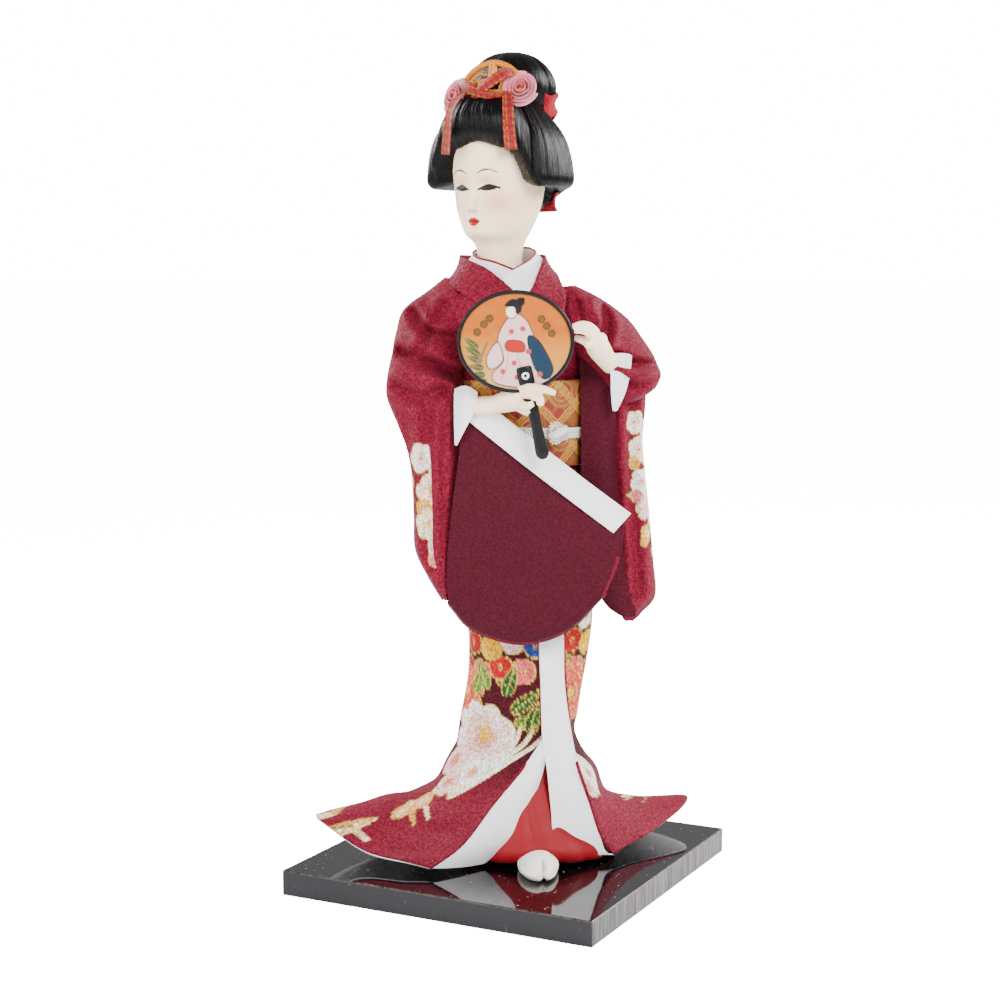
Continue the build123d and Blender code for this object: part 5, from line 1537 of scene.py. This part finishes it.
def make_flowers():
    satin = smooth_cloth("pink satin", 0.35, 0.32, 1600.0)
    model = rose_petals()
    for name, cad, centre, face in (("right_rose", "right_flower", (-11.2, -12.6, 290.6),
                                     (-0.40, -0.85, 0.30)),
                                    ("left_rose", "left_flower", (13.6, -10.8, 292.6), (0.22, -0.92, 0.30))):
        rose = model.copy()
        rose.data = model.data.copy()
        rose.name = name
        bpy.context.scene.collection.objects.link(rose)
        turn = Vector(face).to_track_quat("Z", "Y").to_matrix().to_4x4()
        rose.data.transform(turn)
        place = on_head(np.array(centre, float))
        for vertex in rose.data.vertices:
            vertex.co = vertex.co + Vector(place)
        settle(rose, "head", satin, [cad])
    bpy.data.objects.remove(model)


def ribbon_paint(count, across):
    t = np.linspace(0, 1, across)[None, :]
    spark = np.random.default_rng(17).random((count, across)) < 0.36
    gold = ((np.abs(t - 0.10) < 0.06) | (np.abs(t - 0.34) < 0.05) | (np.abs(t - 0.90) < 0.06)) & spark
    wave = 0.75 + 0.25 * np.sin(np.linspace(0, count / 1.6, count))[:, None]
    rgb = np.empty((count, across, 3))
    rgb[:] = (0.26, 0.001, 0.002)
    rgb = rgb * wave[..., None]
    return np.where(gold[..., None], np.array([0.55, 0.22, 0.02]) * wave[..., None], rgb)


def make_comb():
    """Arched comb with an open pattern: rim, crossbar, post and two curls."""
    arch = [(-10.4, 291.0), (-9.2, 296.4), (-5.4, 300.6), (0.0, 302.4), (5.4, 300.6), (9.2, 296.4),
            (10.4, 291.0)]
    shapes = [(arch, 1.15), ([(-9.6, 294.6), (0, 296.2), (9.6, 294.6)], 0.75),
              ([(-9.8, 291.6), (0, 291.6), (9.8, 291.6)], 1.2),
              ([(0, 295.6), (0.2, 298.4), (0, 301.8)], 1.5), ([(-6.6, 296.4), (-4.2, 298.4), (-1.2, 298.0)],
                                                              0.6),
              ([(6.6, 296.4), (4.2, 298.4), (1.2, 298.0)], 0.6), ([(-4, 291.6), (-3.6, 293.6), (-4, 295.4)],
                                                                  0.8),
              ([(4, 291.6), (3.6, 293.6), (4, 295.4)], 0.8)]
    pieces = []
    for k, (line, radius) in enumerate(shapes):
        line = through(np.asarray(line, float), 60)
        lean = (line[:, 1] - 291.0) * 0.26
        path = np.stack([line[:, 0] * 1.18 + 1.8, -12.4 + lean + 0.012 * line[:, 0] ** 2, line[:, 1]], -1)
        pieces.append(tube(f"comb_{k}", path, radius, on_head, 12))
    whole = joined("comb_openwork", pieces)
    settle(whole, "head", hard_gloss("comb yellow", (0.56, 0.18, 0.0), 0.30, 0.0), ["comb"])


def head_ribbon(name, left_edge, right_edge, cads, crown=0.3, tone=None):
    paint = ribbon_paint(90, 17) if tone is None else plain_paint((90, 17), tone, 5, 0.06)
    strip = band(name, left_edge, right_edge, on_head, 90, 17, crown, 0.3, paint)
    finish = smooth_cloth("metal thread ribbon", 0.2, 0.3, 2200.0) if tone is None else crepe()
    return settle(strip, "head", finish, cads)


def make_head_ribbons():
    head_ribbon("right_ribbon_tail_cloth",
                [(-7.0, -15.6, 292.4), (-9.6, -19.6, 288.6), (-10.6, -22.6, 283.6), (-11.0, -23.6, 276.8),
                 (-11.4, -24.2, 269.6)],
                [(-4.6, -16.4, 292.2), (-6.2, -20.8, 288.0), (-7.0, -23.6, 283.6), (-7.2, -24.6, 276.8),
                 (-7.4, -25.2, 269.2)],
                ["right_ribbon_tail"])
    head_ribbon("left_ribbon_tail_cloth",
                [(8.0, -14.4, 292.0), (9.6, -17.6, 288.4), (11.0, -20.2, 283.4), (11.9, -21.4, 277.0),
                 (12.4, -21.2, 270.6)],
                [(11.4, -13.2, 291.8), (13.2, -15.8, 288.4), (14.6, -18.2, 283.4), (15.8, -19.4, 277.0),
                 (16.4, -19.0, 270.8)],
                ["left_ribbon_tail"])
    head_ribbon("ribbon_bow_upper",
                [(-9.4, -13.6, 297.0), (-6.0, -17.2, 296.8), (-1.6, -18.6, 294.6), (3.6, -17.8, 292.2),
                 (8.6, -14.6, 290.8)],
                [(-8.0, -14.6, 292.6), (-4.8, -17.8, 291.6), (-0.8, -19.2, 290.2), (3.4, -18.4, 289.0),
                 (7.6, -15.6, 288.6)],
                ["ribbon_bow"], 0.9)
    head_ribbon("ribbon_bow_lower",
                [(-3.0, -16.6, 291.6), (0.6, -18.8, 293.8), (4.2, -18.0, 296.6), (7.4, -15.4, 299.6),
                 (9.4, -12.6, 300.4)],
                [(-1.6, -17.0, 288.6), (2.4, -19.2, 290.6), (6.6, -18.0, 293.4), (10.0, -15.0, 296.4),
                 (12.0, -12.0, 297.2)],
                (), 0.9)
    turn = np.radians(np.linspace(-24, 204, 60))
    low = np.stack([16.4 * np.cos(turn), 11.4 + 12.6 * np.sin(turn), 284.8 + 1.4 * np.sin(turn * 5)], -1)
    high = np.stack([17.2 * np.cos(turn), 9.8 + 13.8 * np.sin(turn), 292.4 + 0.8 * np.sin(turn * 7)], -1)
    wrap = band("bun_cloth_wrap", low, high, on_head, 190, 20, 1.3, 0.5, plain_paint((190, 20), RED, 6, 0.06))
    settle(wrap, "head", crepe(), ["bun_cloth"])
    turn = np.radians(np.linspace(4, 176, 50))
    low = np.stack([17.6 * np.cos(turn), 8.6 + 13.6 * np.sin(turn), 250.0 + 0 * turn], -1)
    high = np.stack([18.0 * np.cos(turn), 8.4 + 14.6 * np.sin(turn), 257.0 + 0 * turn], -1)
    nape = band("nape_ribbon_wrap", low, high, on_head, 160, 20, 1.2, 0.5,
                plain_paint((160, 20), RED, 7, 0.06))
    settle(nape, "head", crepe(), ["nape_ribbon"])


# ------------------------------------------------------------------ kept frame pieces
STEEL = ("steel wire", (0.42, 0.42, 0.44), 0.3, 1.0)
PAPER = ("paper core", (0.50, 0.42, 0.32), 0.8, 0.0)
FILLING = ("filling", (0.55, 0.50, 0.42), 0.9, 0.0)
KEPT = {
    "support_rod": STEEL, "right_arm_wire": STEEL, "left_arm_wire": STEEL,
    "neck_peg": ("peg wood", (0.42, 0.28, 0.15), 0.6, 0.0),
    "torso_core": PAPER, "right_leg": PAPER, "left_leg": PAPER,
    "right_upper_arm": FILLING, "left_upper_arm": FILLING, "skirt_stuffing": FILLING,
}


def finish_kept():
    """Finishes for the frame's own pieces that stay as they are."""
    finishes = {node: hard_gloss(*look) for node, look in KEPT.items()}
    finishes["base_board"] = lacquer(BOARD_TOP)
    for node, finish in finishes.items():
        mesh = frame["nodes"][node].data
        mesh.materials.clear()
        mesh.materials.append(finish)


# ------------------------------------------------------------------ settings and operators
class DollSizes(bpy.types.PropertyGroup):
    camera_height: bpy.props.FloatProperty(
        name="Camera height", description="Camera height over the table", default=0.2284, unit="LENGTH")
    lens: bpy.props.FloatProperty(name="Lens", description="Focal length in millimetres", default=70.2)


class DollCloth(bpy.types.PropertyGroup):
    crepe_grain: bpy.props.FloatProperty(
        name="Crepe grain", description="Width of one raised grain of the crepe",
        default=0.00075, min=0.0002, unit="LENGTH")


class PieceOperator:
    bl_options = {"REGISTER", "UNDO"}

    def execute(self, context):
        for make in self.makers():
            make()
        return {"FINISHED"}


class DOLL_OT_frame(PieceOperator, bpy.types.Operator):
    """Finishes the board and the hidden pieces of the frame"""
    bl_idname = "doll.frame"
    bl_label = "Board and Core"

    def makers(self):
        return (finish_kept,)


class DOLL_OT_skirt(PieceOperator, bpy.types.Operator):
    """Builds the printed skirt, its linings, the red robe and the socks"""
    bl_idname = "doll.skirt"
    bl_label = "Skirt and Feet"

    def makers(self):
        return (make_skirt, make_front_linings, make_under_robe, make_feet)


class DOLL_OT_body(PieceOperator, bpy.types.Operator):
    """Builds the bodice, collars, sash, bow and cord"""
    bl_idname = "doll.body"
    bl_label = "Bodice and Obi"

    def makers(self):
        return (make_bodice, make_collars, make_obi, make_obi_bow, make_cord)


class DOLL_OT_sleeves(PieceOperator, bpy.types.Operator):
    """Builds the sleeves, their linings, the white band and the cuffs"""
    bl_idname = "doll.sleeves"
    bl_label = "Sleeves"

    def makers(self):
        return (make_right_sleeve, make_left_sleeve, make_sleeve_linings, make_sleeve_whites)


class DOLL_OT_fan(PieceOperator, bpy.types.Operator):
    """Builds the hands and the fan they hold"""
    bl_idname = "doll.fan"
    bl_label = "Hands and Fan"

    def makers(self):
        return (make_hands, make_fan, make_eyelet)


class DOLL_OT_head(PieceOperator, bpy.types.Operator):
    """Builds the head, the wig and what is worn in it"""
    bl_idname = "doll.head"
    bl_label = "Head and Hair"

    def makers(self):
        return (make_head, make_hair, make_comb, make_flowers, make_head_ribbons)


def glow(tree, socket, light, seen):
    """Brightness of the stage: one value for the light it gives and one for how it looks."""
    path = tree.nodes.new("ShaderNodeLightPath")
    mix = tree.nodes.new("ShaderNodeMix")
    mix.inputs[2].default_value = light
    mix.inputs[3].default_value = seen
    tree.links.new(path.outputs["Is Camera Ray"], mix.inputs[0])
    tree.links.new(mix.outputs[0], socket)


# Each light's name, place, power in watts and side.
LIGHTS = (("key", (0.62, -0.50, 0.62), 14.5, 0.32), ("rim", (0.55, 0.65, 0.60), 21.0, 0.45),
          ("left", (-0.62, 0.10, 0.50), 9.5, 0.35), ("fill", (-0.35, -0.85, 0.40), 9.0, 0.5))
LIT_POINT = Vector((0, 0, 0.15))
CAMERA_AT = (0.3254, -0.6458)
CAMERA_YAW, CAMERA_PITCH = math.radians(27.06), math.radians(6.72)


class DOLL_OT_stage(bpy.types.Operator):
    """Sets the pale floor, the soft light and the camera"""
    bl_idname = "doll.stage"
    bl_label = "Stage and Camera"
    bl_options = {"REGISTER", "UNDO"}

    def execute(self, context):
        scene = context.scene
        sizes = scene.doll_sizes
        bpy.ops.object.select_all(action="DESELECT")
        bpy.ops.mesh.primitive_plane_add(size=60.0)
        floor = context.object
        floor.name = "stage_floor"
        paper = bpy.data.materials.new("pale floor")
        paper.use_nodes = True
        surface = paper.node_tree.nodes["Principled BSDF"].inputs
        surface["Base Color"].default_value = (0.93, 0.93, 0.94, 1)
        surface["Roughness"].default_value = 0.9
        surface["Emission Color"].default_value = (1, 1, 1, 1)
        glow(paper.node_tree, surface["Emission Strength"], 0.25, 15.0)
        floor.data.materials.append(paper)
        world = bpy.data.worlds.new("soft white")
        world.use_nodes = True
        sky = world.node_tree.nodes["Background"].inputs
        glow(world.node_tree, sky["Strength"], 0.46, 16.0)
        sky["Color"].default_value = (1.0, 1.0, 1.0, 1.0)
        scene.world = world
        for name, at, power, size in LIGHTS:
            bpy.ops.object.light_add(type="AREA", location=at)
            light = context.object
            light.name = name
            light.data.energy = power
            light.data.size = size
            light.rotation_euler = (LIT_POINT - Vector(at)).to_track_quat("-Z", "Y").to_euler()
        bpy.ops.object.camera_add(location=(*CAMERA_AT, sizes.camera_height))
        camera = context.object
        view = Vector((-math.sin(CAMERA_YAW), math.cos(CAMERA_YAW), 0))
        look = view * math.cos(CAMERA_PITCH) + Vector((0, 0, -math.sin(CAMERA_PITCH)))
        camera.rotation_euler = look.to_track_quat("-Z", "Y").to_euler()
        camera.data.lens = sizes.lens
        camera.data.sensor_width = 36.0
        camera.data.dof.use_dof = False
        scene.camera = camera
        return {"FINISHED"}


class DOLL_PT_panel(bpy.types.Panel):
    """Panel with the sizes and one button for each group of pieces"""
    bl_idname = "DOLL_PT_panel"
    bl_label = "Display Doll"
    bl_space_type = "VIEW_3D"
    bl_region_type = "UI"
    bl_category = "Doll"

    def draw(self, context):
        layout = self.layout
        for name in ("camera_height", "lens"):
            layout.prop(context.scene.doll_sizes, name)
        layout.prop(context.scene.doll_cloth, "crepe_grain")
        for operator in OPERATORS:
            layout.operator(operator.bl_idname)


OPERATORS = (DOLL_OT_frame, DOLL_OT_skirt, DOLL_OT_body, DOLL_OT_sleeves, DOLL_OT_fan, DOLL_OT_head,
             DOLL_OT_stage)
CLASSES = (DollSizes, DollCloth) + OPERATORS + (DOLL_PT_panel,)


def register():
    for cls in CLASSES:
        bpy.utils.register_class(cls)
    bpy.types.Scene.doll_sizes = bpy.props.PointerProperty(type=DollSizes)
    bpy.types.Scene.doll_cloth = bpy.props.PointerProperty(type=DollCloth)


def unregister():
    del bpy.types.Scene.doll_cloth
    del bpy.types.Scene.doll_sizes
    for cls in reversed(CLASSES):
        bpy.utils.unregister_class(cls)


def main():
    register()
    for operator in OPERATORS:
        family, name = operator.bl_idname.split(".")
        getattr(getattr(bpy.ops, family), name)()


if __name__ == "__main__":
    main()
